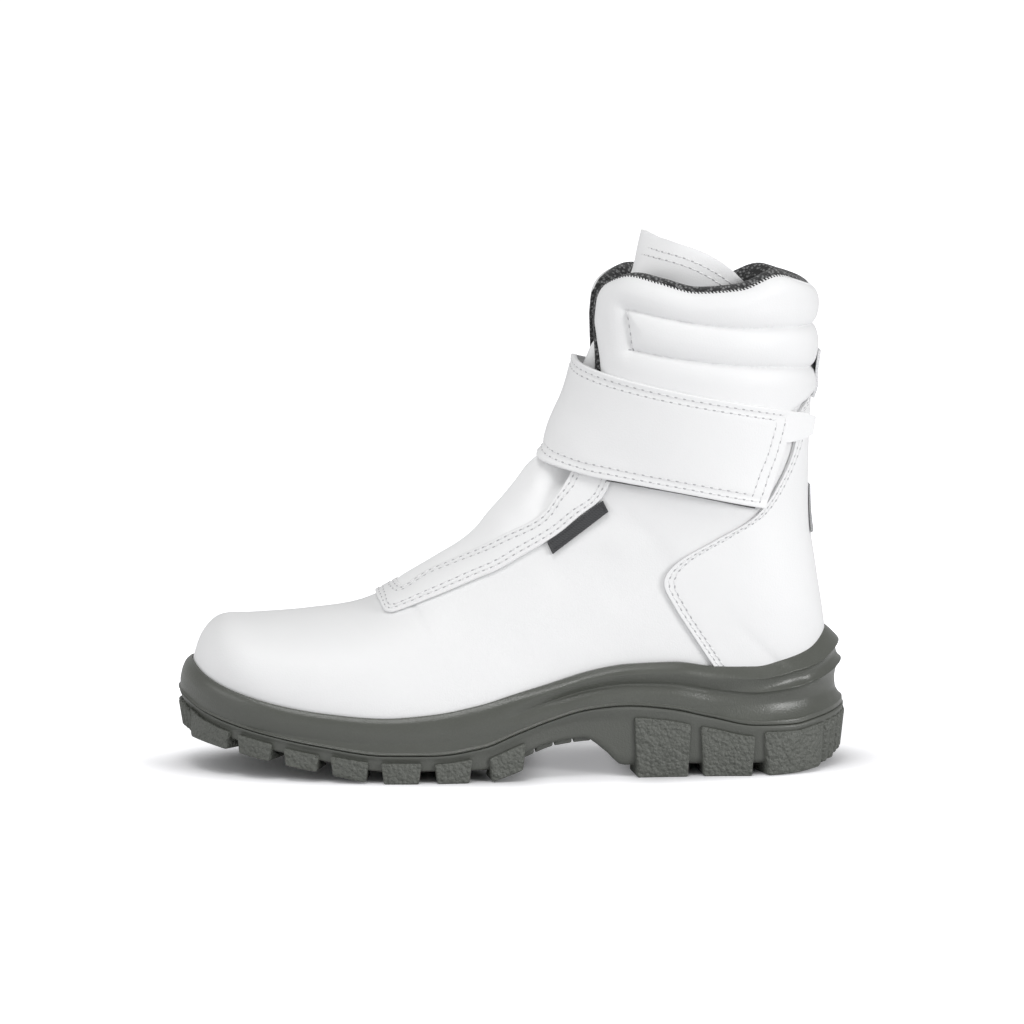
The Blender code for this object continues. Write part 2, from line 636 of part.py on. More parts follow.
def add_lug(outsole, part):
    name = f"lug_{len(cutters.objects):02d}"
    lug = bpy.data.objects.new(name, finish_mesh(name, part))
    cutters.objects.link(lug)
    lug.hide_render = True
    lug.display_type = "WIRE"
    union = outsole.modifiers.new(name, "BOOLEAN")
    union.operation = "UNION"
    union.solver = "EXACT"
    union.object = lug


def make_insole():
    rings = []
    for row in INSOLE_EDGE:
        rings.append(sole_ring(lambda x, lift=row.level: floor_height(x) + INSOLE_THICKNESS * lift,
                               lambda angle, out=row.out: out - UPPER_WALL))
    bm = bmesh.new()
    loft(bm, rings, ring=True)
    new_object("insole", finish_mesh("insole", bm))


def collar_seam_station(turn):
    def below(position):
        point = last_point(position, turn)
        return point.z - along(COLLAR, point.x, "seam")

    return solve(below, HEEL_STATION - 2.0, LAST_STATION)


def make_upper():
    throat = ridge_station(THROAT_TOE_X)
    foot_rows = [UPPER_FIRST_STATION + (throat - UPPER_FIRST_STATION) * k / UPPER_ROWS_TOE
                 for k in range(UPPER_ROWS_TOE)]
    foot_rows += [throat + (HEEL_STATION - throat) * k / UPPER_ROWS_THROAT
                  for k in range(UPPER_ROWS_THROAT + 1)]
    bm = bmesh.new()
    grid = {}
    for i in range(len(foot_rows) + UPPER_ROWS_LEG):
        for side in (LATERAL, MEDIAL):
            for j in range(UPPER_COLUMNS + 1):
                if i < len(foot_rows):
                    position = foot_rows[i]
                    start = throat_turn(position)
                    turn = start + (1.0 - start) * j / UPPER_COLUMNS
                else:
                    share = (i - len(foot_rows) + 1) / UPPER_ROWS_LEG
                    turn = None
                    position = HEEL_STATION
                    for _ in range(3):
                        start = throat_turn(position)
                        turn = start + (1.0 - start) * j / UPPER_COLUMNS
                        top = collar_seam_station(turn)
                        position = HEEL_STATION + (top - HEEL_STATION) * share
                grid[i, side, j] = bm.verts.new(last_point(position, side * turn))
    for i in range(len(foot_rows) + UPPER_ROWS_LEG - 1):
        for side in (LATERAL, MEDIAL):
            for j in range(UPPER_COLUMNS):
                bm.faces.new((grid[i, side, j], grid[i, side, j + 1],
                              grid[i + 1, side, j + 1], grid[i + 1, side, j]))
    mesh = finish_mesh("upper", bm)
    upper = new_object("upper", mesh)
    wall = upper.modifiers.new("wall", "SOLIDIFY")
    wall.thickness = UPPER_WALL * MM
    wall.offset = -1.0
    wall.use_even_offset = True


def make_tongue():
    def place(s, t, out):
        centre = TONGUE[0].station + (TONGUE[-1].station - TONGUE[0].station) * s
        across = (2.0 * t - 1.0) * (TONGUE_SPREAD + (1.0 - TONGUE_SPREAD) * abs(2.0 * t - 1.0))
        wing = TONGUE[0].station + (TONGUE_WING_STATION - TONGUE[0].station) * s
        position = centre + (wing - centre) * across * across
        half = along(TONGUE, position, "half_width")
        middle = along(TONGUE, position, "middle")
        edge = along(TONGUE, position, "wing")
        shoulder = along(TONGUE, position, "shoulder")
        sunk = middle + (edge - middle) * ease(abs(across), (TONGUE_FLAT * shoulder, shoulder))
        return skin(position, half * across, out - sunk - TONGUE_THICKNESS)

    sheet("tongue", place, 18, 12, TONGUE_THICKNESS)


def make_throat_band():
    # Both edges as stations and turns: down the outer side, round the toe end and up again.
    outer_side = [[*locate(row.inner_x, row.inner_z, LATERAL), *locate(row.outer_x, row.outer_z, LATERAL)]
                  for row in THROAT_BAND]
    toe = [ridge_station(THROAT_TOE_X), 0.0, ridge_station(BAND_TOE_X), 0.0]
    inner_side = [[p, -turn, q, -other] for p, turn, q, other in reversed(outer_side)]
    rows = outer_side + [toe] + inner_side

    def place(s, t, out):
        inner, inner_turn, outer, outer_turn = through(rows, (len(rows) - 1) * s)
        return skin(inner + (outer - inner) * t, inner_turn + (outer_turn - inner_turn) * t,
                    OVERLAY_GAP + out)

    sheet("throat_band", place, 40, 3, OVERLAY)


def make_counter():
    rows = [list(row) for row in COUNTER]

    def place(s, t, out):
        side = LATERAL if s <= 0.5 else MEDIAL
        front, front_z, back_z, sag = through(rows, (len(rows) - 1) * t)
        share = math.sin(0.5 * math.pi * (1.0 - abs(2.0 * s - 1.0)))
        x = front + (back_x(back_z) - front) * share
        z = front_z + (back_z - front_z) * share ** sag
        z = max(z, along(SOLE, sole_x(last_angle(x)), "rand") + RAND_GAP)
        return side_skin(x, z, side, OVERLAY_GAP + out)

    sheet("counter", place, 16, 10, OVERLAY)


def make_wrapped(name, table, rows, columns, thickness):
    # A piece wrapped round the leg, from a table of its edges.
    numbers = [list(row) for row in table]

    def place(s, t, out):
        low_deg, top_deg, low_z, top_z, low_out, top_out = through(numbers, (len(table) - 1) * s)
        angle = math.radians(low_deg + (top_deg - low_deg) * t)
        return level_skin(low_z + (top_z - low_z) * t, angle,
                          low_out + (top_out - low_out) * t + out)

    sheet(name, place, rows, columns, thickness)


def make_label():
    first, second, third, fourth = (Vector(corner) for corner in LABEL_CORNERS)

    def place(s, t, out):
        spot = first.lerp(second, s).lerp(fourth.lerp(third, s), t)
        return side_skin(spot.x, spot.y, LATERAL, GAP + out)

    sheet("side_label", place, 4, 1, LABEL_THICKNESS)


def make_collar():
    first = math.radians(COLLAR_FRONT_DEG)
    sections = []
    for k in range(COLLAR_STEPS + 1):
        angle = first + (math.tau - 2.0 * first) * k / COLLAR_STEPS
        end = min(k, COLLAR_STEPS - k)
        full = COLLAR_ENDS[end] if end < len(COLLAR_ENDS) else 1.0
        lines = [along(COLLAR, level_skin(level, angle).x, column) for column, level in COLLAR_LINES]
        lines[0] += COLLAR_LIFT
        section = []
        for pad in COLLAR_PAD:
            roll = min(int(pad.roll), 2)
            z = lines[roll] + (lines[roll + 1] - lines[roll]) * (pad.roll - roll)
            plump = min(1.0, (lines[roll + 1] - lines[roll]) / FULL_ROLL) if pad.out > 0 else 1.0
            section.append(level_skin(z, angle, pad.out * plump * full - COLLAR_END_DEPTH * (1.0 - full)))
        sections.append(section)
    bm = bmesh.new()
    loft(bm, sections, ring=False)
    new_object("collar", finish_mesh("collar", bm))


for old in list(bpy.data.objects):
    bpy.data.objects.remove(old, do_unlink=True)
boot = bpy.data.collections.new("cold_storage_boot")
cutters = bpy.data.collections.new("lugs_to_join")
bpy.context.scene.collection.children.link(boot)
bpy.context.scene.collection.children.link(cutters)

Edge = namedtuple("Edge", "position turn")
throat_edge = [Edge(ridge_station(THROAT_TOE_X), 0.0)]
for band in reversed(THROAT_BAND):
    spot, opening = locate(band.inner_x, band.inner_z, MEDIAL)
    throat_edge.append(Edge(spot, opening))

make_outsole()
make_midsole()
make_upper()
make_insole()
make_tongue()
make_throat_band()
make_counter()
make_collar()
make_wrapped("strap", STRAP, 28, 5, STRAP_THICKNESS)
make_wrapped("strap_tab", STRAP_TAB, 5, 2, TAB_THICKNESS)
make_wrapped("fastening_pad", FASTENING_PAD, 6, 2, PAD_THICKNESS)
make_wrapped("reflector", REFLECTOR, 5, 3, REFLECTOR_THICKNESS)
make_wrapped("pull_loop", PULL_LOOP, 4, 3, LOOP_THICKNESS)
make_label()

# The middle of the footprint goes to the origin.
bpy.context.view_layer.update()
depsgraph = bpy.context.evaluated_depsgraph_get()
corners = [Vector(corner) for piece in boot.objects for corner in piece.evaluated_get(depsgraph).bound_box]
middle = [0.5 * (min(c[axis] for c in corners) + max(c[axis] for c in corners)) for axis in (0, 1)]
for piece in list(boot.objects) + list(cutters.objects):
    piece.location = (-middle[0], -middle[1], 0.0)
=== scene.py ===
# Cold storage boot, left foot: the dressed model, its finishes and the studio
import math

import bmesh
import bpy
import numpy as np
from mathutils import Matrix, Vector


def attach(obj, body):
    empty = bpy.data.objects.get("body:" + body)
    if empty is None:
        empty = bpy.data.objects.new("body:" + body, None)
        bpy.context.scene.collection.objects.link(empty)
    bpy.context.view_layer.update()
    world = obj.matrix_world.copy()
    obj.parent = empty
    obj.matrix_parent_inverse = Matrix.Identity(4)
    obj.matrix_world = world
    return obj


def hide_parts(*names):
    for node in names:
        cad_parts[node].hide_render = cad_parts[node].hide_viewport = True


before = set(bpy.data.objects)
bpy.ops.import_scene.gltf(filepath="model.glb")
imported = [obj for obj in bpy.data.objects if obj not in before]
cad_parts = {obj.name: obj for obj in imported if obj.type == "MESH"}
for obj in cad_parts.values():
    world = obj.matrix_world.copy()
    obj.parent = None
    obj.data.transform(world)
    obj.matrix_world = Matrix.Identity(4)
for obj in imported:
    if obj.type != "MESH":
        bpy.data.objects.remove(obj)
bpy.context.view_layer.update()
millimetre = 0.001
tableMiddle = np.array((2.225, -1.079, 0.0))  # the tables' own origin against the part's frame
lateral, medial = -1, 1
print("frame loaded")

# Stations of the last, toe to heel and up the leg
lastForm = {
    "columns": "frontX frontZ keelX keelZ ridgeY lateral medial widest footLateral footMedial crown heel",
    "stations": (
        (-144.0, 29.0, -143.4, 27.5, 8.0, 5.0, 5.0, 0.70, 4.6, 4.6, 2.0, 2.0),
        (-145.4, 41.0, -140.0, 26.5, 8.0, 14.5, 13.0, 0.72, 13.5, 12.0, 2.1, 2.0),
        (-143.6, 52.0, -132.0, 25.0, 8.0, 27.0, 22.5, 0.74, 25.5, 21.0, 2.3, 2.0),
        (-139.4, 61.5, -120.0, 23.0, 8.0, 38.0, 30.5, 0.76, 36.5, 29.0, 2.4, 2.0),
        (-131.5, 68.0, -104.0, 20.7, 8.0, 46.5, 35.5, 0.77, 44.5, 34.0, 2.4, 2.0),
        (-116.0, 69.0, -84.0, 18.6, 7.5, 52.0, 38.5, 0.78, 50.0, 37.0, 2.3, 2.0),
        (-92.0, 71.0, -60.0, 17.2, 6.5, 55.0, 40.0, 0.79, 53.0, 38.5, 2.2, 2.0),
        (-66.0, 75.6, -32.0, 17.6, 5.0, 54.0, 38.5, 0.80, 52.0, 36.5, 2.1, 2.0),
        (-42.0, 88.5, 0.0, 21.0, 3.5, 50.0, 35.0, 0.80, 47.5, 32.0, 2.0, 2.0),
        (-20.0, 103.0, 32.0, 25.0, 2.0, 45.0, 34.5, 0.78, 41.5, 31.0, 1.95, 2.0),
        (-6.0, 118.5, 62.0, 28.0, 1.0, 41.5, 36.0, 0.74, 37.5, 32.0, 1.95, 2.0),
        (3.0, 130.5, 92.0, 30.2, 0.0, 39.5, 38.0, 0.68, 35.0, 33.5, 1.95, 2.0),
        (9.0, 139.0, 115.0, 31.5, 0.0, 39.0, 38.5, 0.63, 30.0, 29.5, 2.0, 2.0),
        (16.6, 145.6, 130.5, 32.2, 0.0, 39.0, 38.5, 0.59, 21.5, 21.5, 2.0, 2.0),
        (20.2, 151.6, 138.5, 32.8, 0.0, 39.0, 38.5, 0.57, 11.5, 11.5, 2.0, 2.0),
        (23.2, 158.4, 141.6, 33.3, 0.0, 39.0, 38.5, 0.56, 0.0, 0.0, 2.05, 2.1),
        (25.3, 164.3, 143.7, 46.0, 0.0, 39.0, 38.8, 0.56, 0.0, 0.0, 2.05, 2.15),
        (27.5, 170.0, 144.4, 63.0, 0.0, 39.0, 39.0, 0.55, 0.0, 0.0, 2.05, 2.15),
        (31.4, 181.0, 140.4, 90.0, 0.0, 39.5, 39.5, 0.54, 0.0, 0.0, 2.05, 2.15),
        (34.2, 190.5, 136.8, 115.0, 0.0, 40.0, 40.0, 0.53, 0.0, 0.0, 2.05, 2.15),
        (35.6, 199.5, 136.4, 141.0, 0.0, 41.0, 41.0, 0.53, 0.0, 0.0, 2.05, 2.15),
        (36.4, 208.0, 137.2, 167.0, 0.0, 42.0, 42.0, 0.53, 0.0, 0.0, 2.05, 2.15),
        (37.6, 217.0, 138.2, 192.0, 0.0, 43.0, 43.0, 0.52, 0.0, 0.0, 2.05, 2.15),
        (40.5, 227.0, 138.4, 215.0, 0.0, 43.5, 43.5, 0.52, 0.0, 0.0, 2.05, 2.15),
        (49.0, 239.0, 138.2, 237.0, 0.0, 43.5, 43.5, 0.52, 0.0, 0.0, 2.05, 2.15),
        (62.0, 255.0, 138.0, 260.0, 0.0, 43.0, 43.0, 0.52, 0.0, 0.0, 2.05, 2.15),
    ),
    "heelStation": 15, "perStation": 100, "stationStep": 0.15, "turnStep": 0.02,
}
lastStation = len(lastForm["stations"]) - 1
heelStation, perStation = lastForm["heelStation"], lastForm["perStation"]


def alike(*values):  # numbers and arrays, all brought to one shape
    return np.broadcast_arrays(*(np.asarray(value, float) for value in values))


def ease(value, low, high):
    t = np.clip((value - low) / (high - low), 0.0, 1.0)
    return t * t * (3.0 - 2.0 * t)


def through(rows, position):  # smooth curve through equally spaced rows
    rows = np.asarray(rows, float)
    last = len(rows) - 1
    position = np.clip(position, 0.0, last)
    i = np.minimum(position.astype(int), last - 1)
    t = (position - i)[..., None]
    b, c = rows[i], rows[i + 1]
    a = np.where((i > 0)[..., None], rows[np.maximum(i - 1, 0)], 2 * b - c)
    d = np.where((i + 2 <= last)[..., None], rows[np.minimum(i + 2, last)], 2 * c - b)
    return 0.5 * (2 * b + (c - a) * t + (2 * a - 5 * b + 4 * c - d) * t ** 2 + (3 * b - a - 3 * c + d) * t ** 3)


def rowsAt(rows, share):  # a table's columns, a share of the way through its rows
    return np.moveaxis(through(rows, (len(rows) - 1) * share), -1, 0)


def along(xs, ys, key):  # curve without overshoot, ys against xs
    xs, ys = np.asarray(xs, float), np.asarray(ys, float)
    steps = np.diff(ys) / np.diff(xs)
    before, after = steps[:-1], steps[1:]
    product = before * after
    inner = np.where(product > 0, 2 * product / np.where(product > 0, before + after, 1.0), 0.0)
    slopes = np.concatenate((steps[:1], inner, steps[-1:]))
    key = np.clip(key, xs[0], xs[-1])
    i = np.clip(np.searchsorted(xs, key, side="right") - 1, 0, len(xs) - 2)
    h = xs[i + 1] - xs[i]
    t = (key - xs[i]) / h
    return (ys[i] * (1 + 2 * t) * (1 - t) ** 2 + h * slopes[i] * t * (1 - t) ** 2
            + ys[i + 1] * t * t * (3 - 2 * t) + h * slopes[i + 1] * t * t * (t - 1))


def tableColumn(table, column, key):
    names = table["columns"].split()
    rows = np.asarray(table["rows"], float)
    return along(rows[:, 0], rows[:, names.index(column)], key)


def solve(function, low, high, like):  # where a function changes sign, or the nearer end
    low, high = np.full(np.shape(like), float(low)), np.full(np.shape(like), float(high))
    first, second = function(low), function(high)
    positive = first > 0
    stuck = (second > 0) == positive
    nearer = np.where(np.abs(first) <= np.abs(second), low, high)
    for _ in range(26):
        middle = 0.5 * (low + high)
        same = (function(middle) > 0) == positive
        low, high = np.where(same, middle, low), np.where(same, high, middle)
    return np.where(stuck, nearer, 0.5 * (low + high))


denseStations = np.linspace(0.0, lastStation, perStation * lastStation + 1)
denseTable = through(lastForm["stations"], denseStations).T.copy()
lastColumns = {name: k for k, name in enumerate(lastForm["columns"].split())}


def stationRow(position, names=lastColumns):  # the last's numbers at stations, read off a dense table
    place = np.clip(position, 0.0, lastStation) * perStation
    i = np.minimum(place.astype(int), perStation * lastStation - 1)
    t = place - i
    columns = {name: denseTable[lastColumns[name]] for name in names}
    return {name: column[i] * (1.0 - t) + column[i + 1] * t for name, column in columns.items()}


def lastPoint(position, turn):  # turn: -1 outer feather or heel's back, 0 ridge, 1 inner feather
    position, turn = alike(position, turn)
    turn = np.where(np.abs(turn) > 1.0 + 1e-6, turn - np.copysign(2.0, turn), turn)
    turn = np.clip(turn, -1.0, 1.0)
    row = stationRow(position)
    inside = turn > 0
    down = 0.5 - 0.5 * np.cos(np.pi * np.abs(turn))
    full = np.where(inside, row["medial"], row["lateral"])
    foot = np.maximum(np.where(inside, row["footMedial"], row["footLateral"]), 0.0)
    rest = np.clip(1.0 - down / row["widest"], 0.0, 1.0)
    over = full * (1.0 - rest ** row["crown"]) ** (1.0 / row["crown"])
    rest = np.clip((down - row["widest"]) / (1.0 - row["widest"]), 0.0, 1.0)
    power = 1.0 / row["heel"] + (1.0 - 1.0 / row["heel"]) * foot / full
    under = foot + (full - foot) * (1.0 - rest ** row["heel"]) ** power
    width = np.where(down < row["widest"], over, under) * np.where(inside, medial, lateral)
    return np.stack((row["frontX"] + down * (row["keelX"] - row["frontX"]), row["ridgeY"] + width,
                     row["frontZ"] + down * (row["keelZ"] - row["frontZ"])), axis=-1)


def skin(position, turn, out=0.0):  # a point of the last, moved out along its normal
    position, turn, out = alike(position, turn, out)
    closed = position >= heelStation
    low, high = turn - lastForm["turnStep"], turn + lastForm["turnStep"]
    low, high = np.where(closed, low, np.maximum(low, -1.0)), np.where(closed, high, np.minimum(high, 1.0))
    ahead = lastPoint(np.minimum(position + lastForm["stationStep"], lastStation), turn)
    behind = lastPoint(np.maximum(position - lastForm["stationStep"], 0.0), turn)
    normal = np.cross(ahead - behind, lastPoint(position, high) - lastPoint(position, low))
    normal /= np.maximum(np.linalg.norm(normal, axis=-1, keepdims=True), 1e-9)
    return lastPoint(position, turn) + normal * out[..., None]


def locate(x, z, side):  # station and turn of what shows at x, z in side view
    x, z, side = alike(x, z, side)

    def offside(position):
        row = stationRow(position, ("frontX", "frontZ", "keelX", "keelZ"))
        return ((x - row["frontX"]) * (row["keelZ"] - row["frontZ"])
                - (z - row["frontZ"]) * (row["keelX"] - row["frontX"]))

    position = solve(offside, 0.0, lastStation, x)
    row = stationRow(position)
    dx, dz = row["keelX"] - row["frontX"], row["keelZ"] - row["frontZ"]
    down = np.clip(((x - row["frontX"]) * dx + (z - row["frontZ"]) * dz) / (dx * dx + dz * dz), 0.0, 1.0)
    return position, side * np.arccos(1.0 - 2.0 * down) / np.pi


def sideSkin(x, z, side, out=0.0):
    position, turn = locate(x, z, side)
    return skin(position, turn, out)


def ridgeStation(x):
    return float(solve(lambda p: stationRow(p, ("frontX",))["frontX"] - x, 1.0, lastStation, np.zeros(1))[0])


frontLine = denseTable[[lastColumns["frontZ"], lastColumns["frontX"]]]
backLine = denseTable[[lastColumns["keelZ"], lastColumns["keelX"]]][:, denseStations >= heelStation]


def backX(z):
    return np.interp(z, *backLine)


def levelSkin(z, angle, out=0.0):  # level section: angle 0 at the front, half a turn at the back
    z, angle, out = alike(z, angle, out)
    angle = angle % math.tau
    front, back = np.interp(z, *frontLine), backX(z)
    x = 0.5 * (front + back) - 0.5 * (back - front) * np.cos(angle)
    return sideSkin(x, z, np.where(angle <= math.pi, lateral, medial), out)


print("last ready")


# Mesh helpers
def toPart(points):
    return (np.asarray(points) - tableMiddle) * millimetre


def spots(vertices):  # x, y and z of some vertices
    return np.array([vertex.co for vertex in vertices]).T


def moveTo(vertices, points):
    for vertex, point in zip(vertices, toPart(points)):
        vertex.co = point


def gridMesh(grid, place, bm=None):  # a grid moved on to place(s, t)
    bm = bm or bmesh.new()
    made = bmesh.ops.create_grid(bm, x_segments=grid[0], y_segments=grid[1], size=0.5)["verts"]
    s, t, _ = spots(made) + 0.5
    moveTo(made, place(s, t))
    bm.normal_update()
    return bm


def flipOutwards(bm, place):  # turns an open sheet so that it faces the way "out" goes
    here, there = (toPart(place(np.array([0.3]), np.array([0.5]), out))[0] for out in (0.0, 1.0))
    face = min(bm.faces, key=lambda f: (f.calc_center_median() - Vector(here)).length)
    if face.normal.dot(Vector(there) - Vector(here)) < 0:
        bmesh.ops.reverse_faces(bm, faces=bm.faces)


def weldMesh(bm):
    bmesh.ops.remove_doubles(bm, verts=bm.verts, dist=0.01 * millimetre)


def addObject(name, data):
    made = bpy.data.objects.new(name, data)
    bpy.context.scene.collection.objects.link(made)
    return made


def meshFrom(name, bm):
    mesh = bpy.data.meshes.new(name)
    bm.to_mesh(mesh)
    bm.free()
    return mesh


def addPiece(name, bm, finishNames, node=None):
    mesh = meshFrom(name, bm)
    mesh.shade_smooth()
    for finish in finishNames.split():
        mesh.materials.append(finishes[finish])
    piece = addObject(name, mesh)
    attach(piece, "root")
    if node:
        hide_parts(node)
    return piece


def thicken(piece, thickness, offset, inner=0, soft=0.0):
    wall = piece.modifiers.new("wall", "SOLIDIFY")
    wall.thickness = thickness * millimetre
    wall.offset = offset
    wall.use_even_offset = False
    wall.material_offset = inner
    if soft:
        edge = piece.modifiers.new("edge", "BEVEL")
        edge.width = soft * millimetre
        edge.segments = 3
        edge.limit_method = "ANGLE"
        edge.angle_limit = math.radians(50)


def sheetMesh(form, place):
    bm = gridMesh(form["grid"], lambda s, t: place(s, t, 0.0))
    flipOutwards(bm, place)
    weldMesh(bm)
    return bm


def sheetPiece(name, form, place, finishName, node):  # a cut sheet with its own thickness
    piece = addPiece(name, sheetMesh(form, place), finishName, node)
    thicken(piece, form["thickness"], 1.0, soft=form["soft"])


# Thread: each stitch is a small sunk grain, with a grey grain of painted shade at the needle hole at each end
thread = {"pitch": 3.9, "length": 2.3, "width": 0.8, "height": 0.55, "slant": 0.2, "hole": (1.7, 0.8, 0.3)}
stitchMesh, holeShadeMesh = bmesh.new(), bmesh.new()
grainStart = bmesh.new()
bmesh.ops.create_uvsphere(grainStart, u_segments=6, v_segments=4, radius=0.5 * millimetre)
grainMesh = meshFrom("grain", grainStart)


def grain(bm, centre, run, up, length, width, height):
    run, up = Vector(run).normalized(), Vector(up)
    up = (up - run * up.dot(run)).normalized()
    turned = Matrix((up.cross(run), up, run)).transposed().to_4x4()
    spot = Matrix.Translation(centre) @ turned @ Matrix.Diagonal((width, height, length, 1.0))
    known = len(bm.verts)
    bm.from_mesh(grainMesh)
    bm.verts.ensure_lookup_table()
    for vertex in bm.verts[known:]:
        vertex.co = spot @ vertex.co


def runAlong(path):  # distance along a row of points
    return np.concatenate(([0.0], np.cumsum(np.linalg.norm(np.diff(path, axis=0), axis=1))))


def rowsAlong(run):  # reads rows of three values at a distance
    return lambda distance, rows: np.array([np.interp(distance, run, column) for column in rows.T])


def sunk(form, away):  # how far a seam pulls a sheet down
    return form["sink"] * np.exp(-((away - 0.5 * sum(form["stitches"])) / form["sinkWide"]) ** 2)


def sew(place, s, t, lift, pitch=thread["pitch"]):  # a row of stitches along s, t on a surface
    path = place(s, t, lift)
    tall = place(s, t, lift + 1.0) - path
    run = runAlong(path)
    count = max(1, int(run[-1] / pitch))
    step = run[-1] / count
    at = rowsAlong(run)
    for k in range(count):
        middle = (k + 0.5) * step
        ahead = at(middle + 0.4 * step, path) - at(middle - 0.4 * step, path)
        aslant = ahead + thread["slant"] * np.cross(at(middle, tall), ahead)
        grain(stitchMesh, toPart(at(middle, path)), aslant, at(middle, tall),
              thread["length"] * step / thread["pitch"], thread["width"], thread["height"])
        start = middle - 0.5 * step
        # painted shade: a grey grain stands for the shadow in the needle hole
        grain(holeShadeMesh, toPart(at(start, path)), ahead, at(start, tall), *thread["hole"])


# Finishes
class Wire:
    # a shader socket that takes part in Python sums
    def __init__(self, tree, socket=None):
        self.tree = tree
        self.socket = socket

    def feed(self, slot, value):
        if isinstance(value, Wire):
            self.tree.links.new(value.socket, slot)
        else:
            slot.default_value = value

    def node(self, kind, settings, values, output=0):
        made = self.tree.nodes.new(kind)
        for key, value in settings.items():
            setattr(made, key, value)
        for key, value in values.items():
            self.feed(made.inputs[key], value)
        return Wire(self.tree, made.outputs[output])

    def maths(self, operation, first, second):
        return self.node("ShaderNodeMath", {"operation": operation}, {0: first, 1: second})

    def __add__(self, other):
        return self.maths("ADD", self, other)

    def __sub__(self, other):
        return self.maths("SUBTRACT", self, other)

    def __rsub__(self, other):
        return self.maths("SUBTRACT", other, self)

    def __mul__(self, other):
        return self.maths("MULTIPLY", self, other)

    __radd__ = __add__
    __rmul__ = __mul__


def newFinish(name, roughness, constants=None):
    material = bpy.data.materials.new(name)
    material.use_nodes = True
    shader = material.node_tree.nodes["Principled BSDF"]
    shader.inputs["Roughness"].default_value = roughness
    for key, value in (constants or {}).items():
        shader.inputs[key].default_value = value
    wire = Wire(material.node_tree)
    place = wire.node("ShaderNodeTexCoord", {}, {}, "Object")
    return material, shader, wire, place


def noise(wire, place, scale, detail):
    return wire.node("ShaderNodeTexNoise", {}, {"Vector": place, "Scale": scale, "Detail": detail}, "Fac")


def stripes(wire, place, size, direction, distortion):  # even lines, their size in millimetres
    return wire.node("ShaderNodeTexWave", {"bands_direction": direction},
                     {"Vector": place, "Scale": 1000.0 / size / math.tau, "Distortion": distortion}, "Fac")


def tint(wire, mask, dark, light):  # a colour between two, by a mask
    return wire.node("ShaderNodeMix", {"data_type": "RGBA"},
                     {0: mask, 6: (*dark, 1.0), 7: (*light, 1.0)}, 2)


def bump(wire, height, strength, distance):
    return wire.node("ShaderNodeBump", {}, {"Height": height, "Strength": strength, "Distance": distance})


def microfibre(name, dark, light, roughness=0.46, grainSize=0.75):
    # coated microfibre: fine pebbled grain, soft satin, faint cloudy tone
    material, shader, wire, place = newFinish(name, roughness, {"Sheen Weight": 0.06, "Sheen Roughness": 0.5})
    pebble = wire.node("ShaderNodeTexVoronoi", {"feature": "SMOOTH_F1"},
                       {"Vector": place, "Scale": 1000.0 / grainSize, "Smoothness": 0.5}, "Distance")
    fine = noise(wire, place, 2600.0, 3.0)
    cloud = noise(wire, place, 38.0, 3.0)
    wire.feed(shader.inputs["Base Color"], tint(wire, cloud * 0.8 + fine * 0.2, dark, light))
    wire.feed(shader.inputs["Roughness"], cloud * 0.1 + pebble * 0.12 + (roughness - 0.09))
    wire.feed(shader.inputs["Normal"], bump(wire, pebble * 0.75 + fine * 0.35, 0.35, 0.16 * millimetre))
    return material


def knit(name, dark, light, wale=1.5, course=1.1):
    # ribbed warm lining: rows of loops with fuzz, the yarn's tone darkened down between the loops as painted shade
    material, shader, wire, place = newFinish(name, 0.95, {"Sheen Weight": 0.25, "Sheen Roughness": 0.6})
    loops = wire.node("ShaderNodeTexVoronoi", {}, {"Vector": place, "Scale": 1000.0 / wale}, "Distance")
    rows = stripes(wire, place, course, "Z", 2.5)
    fuzz = noise(wire, place, 1800.0, 4.0)
    loops = wire.node("ShaderNodeMapRange", {},
                      {"Value": loops, "From Min": 0.22, "From Max": 0.58, "To Min": 1.0, "To Max": 0.0})
    height = loops * 0.75 + rows * 0.1 + fuzz * 0.2
    # colour by the loops' height: the yarn's tone on top, near black in the hollows between loops as painted shade
    wire.feed(shader.inputs["Base Color"], tint(wire, height * height, dark, light))
    wire.feed(shader.inputs["Normal"], bump(wire, height, 1.0, 0.9 * millimetre))
    return material


def woven(name, dark, light, roughness, threadSize=0.5):
    # narrow woven tape: warp and weft that cross
    material, shader, wire, place = newFinish(name, roughness)
    warp, weft = (stripes(wire, place, threadSize, direction, 0.6) for direction in ("DIAGONAL", "Z"))
    fuzz = noise(wire, place, 1500.0, 3.0)
    weave = warp * 0.4 + weft * 0.4 + fuzz * 0.3
    wire.feed(shader.inputs["Base Color"], tint(wire, weave, dark, light))
    wire.feed(shader.inputs["Normal"], bump(wire, weave, 0.6, 0.3 * millimetre))
    return material


def mouldedSole(name, dark, light, roughness, stipple, stippleSize):
    # moulded polyurethane: faint flow marks, and a stippled mould where asked
    material, shader, wire, place = newFinish(name, roughness, {"Specular IOR Level": 0.75})
    flow = noise(wire, place, 60.0, 5.0)
    fine = noise(wire, place, 1400.0, 2.0)
    dots = wire.node("ShaderNodeTexVoronoi", {"feature": "SMOOTH_F1"},
                     {"Vector": place, "Scale": 1000.0 / stippleSize, "Smoothness": 0.4}, "Distance")
    mottle = noise(wire, place, 460.0, 3.0)
    height = (1.0 - dots) * 0.6 * stipple + mottle * stipple + fine * 0.08
    wire.feed(shader.inputs["Base Color"], tint(wire, flow * 0.7 + fine * 0.3, dark, light))
    wire.feed(shader.inputs["Roughness"], flow * 0.16 + fine * 0.08 + (roughness - 0.12))
    wire.feed(shader.inputs["Normal"], bump(wire, height, 1.0, 1.3 * millimetre))
    return material


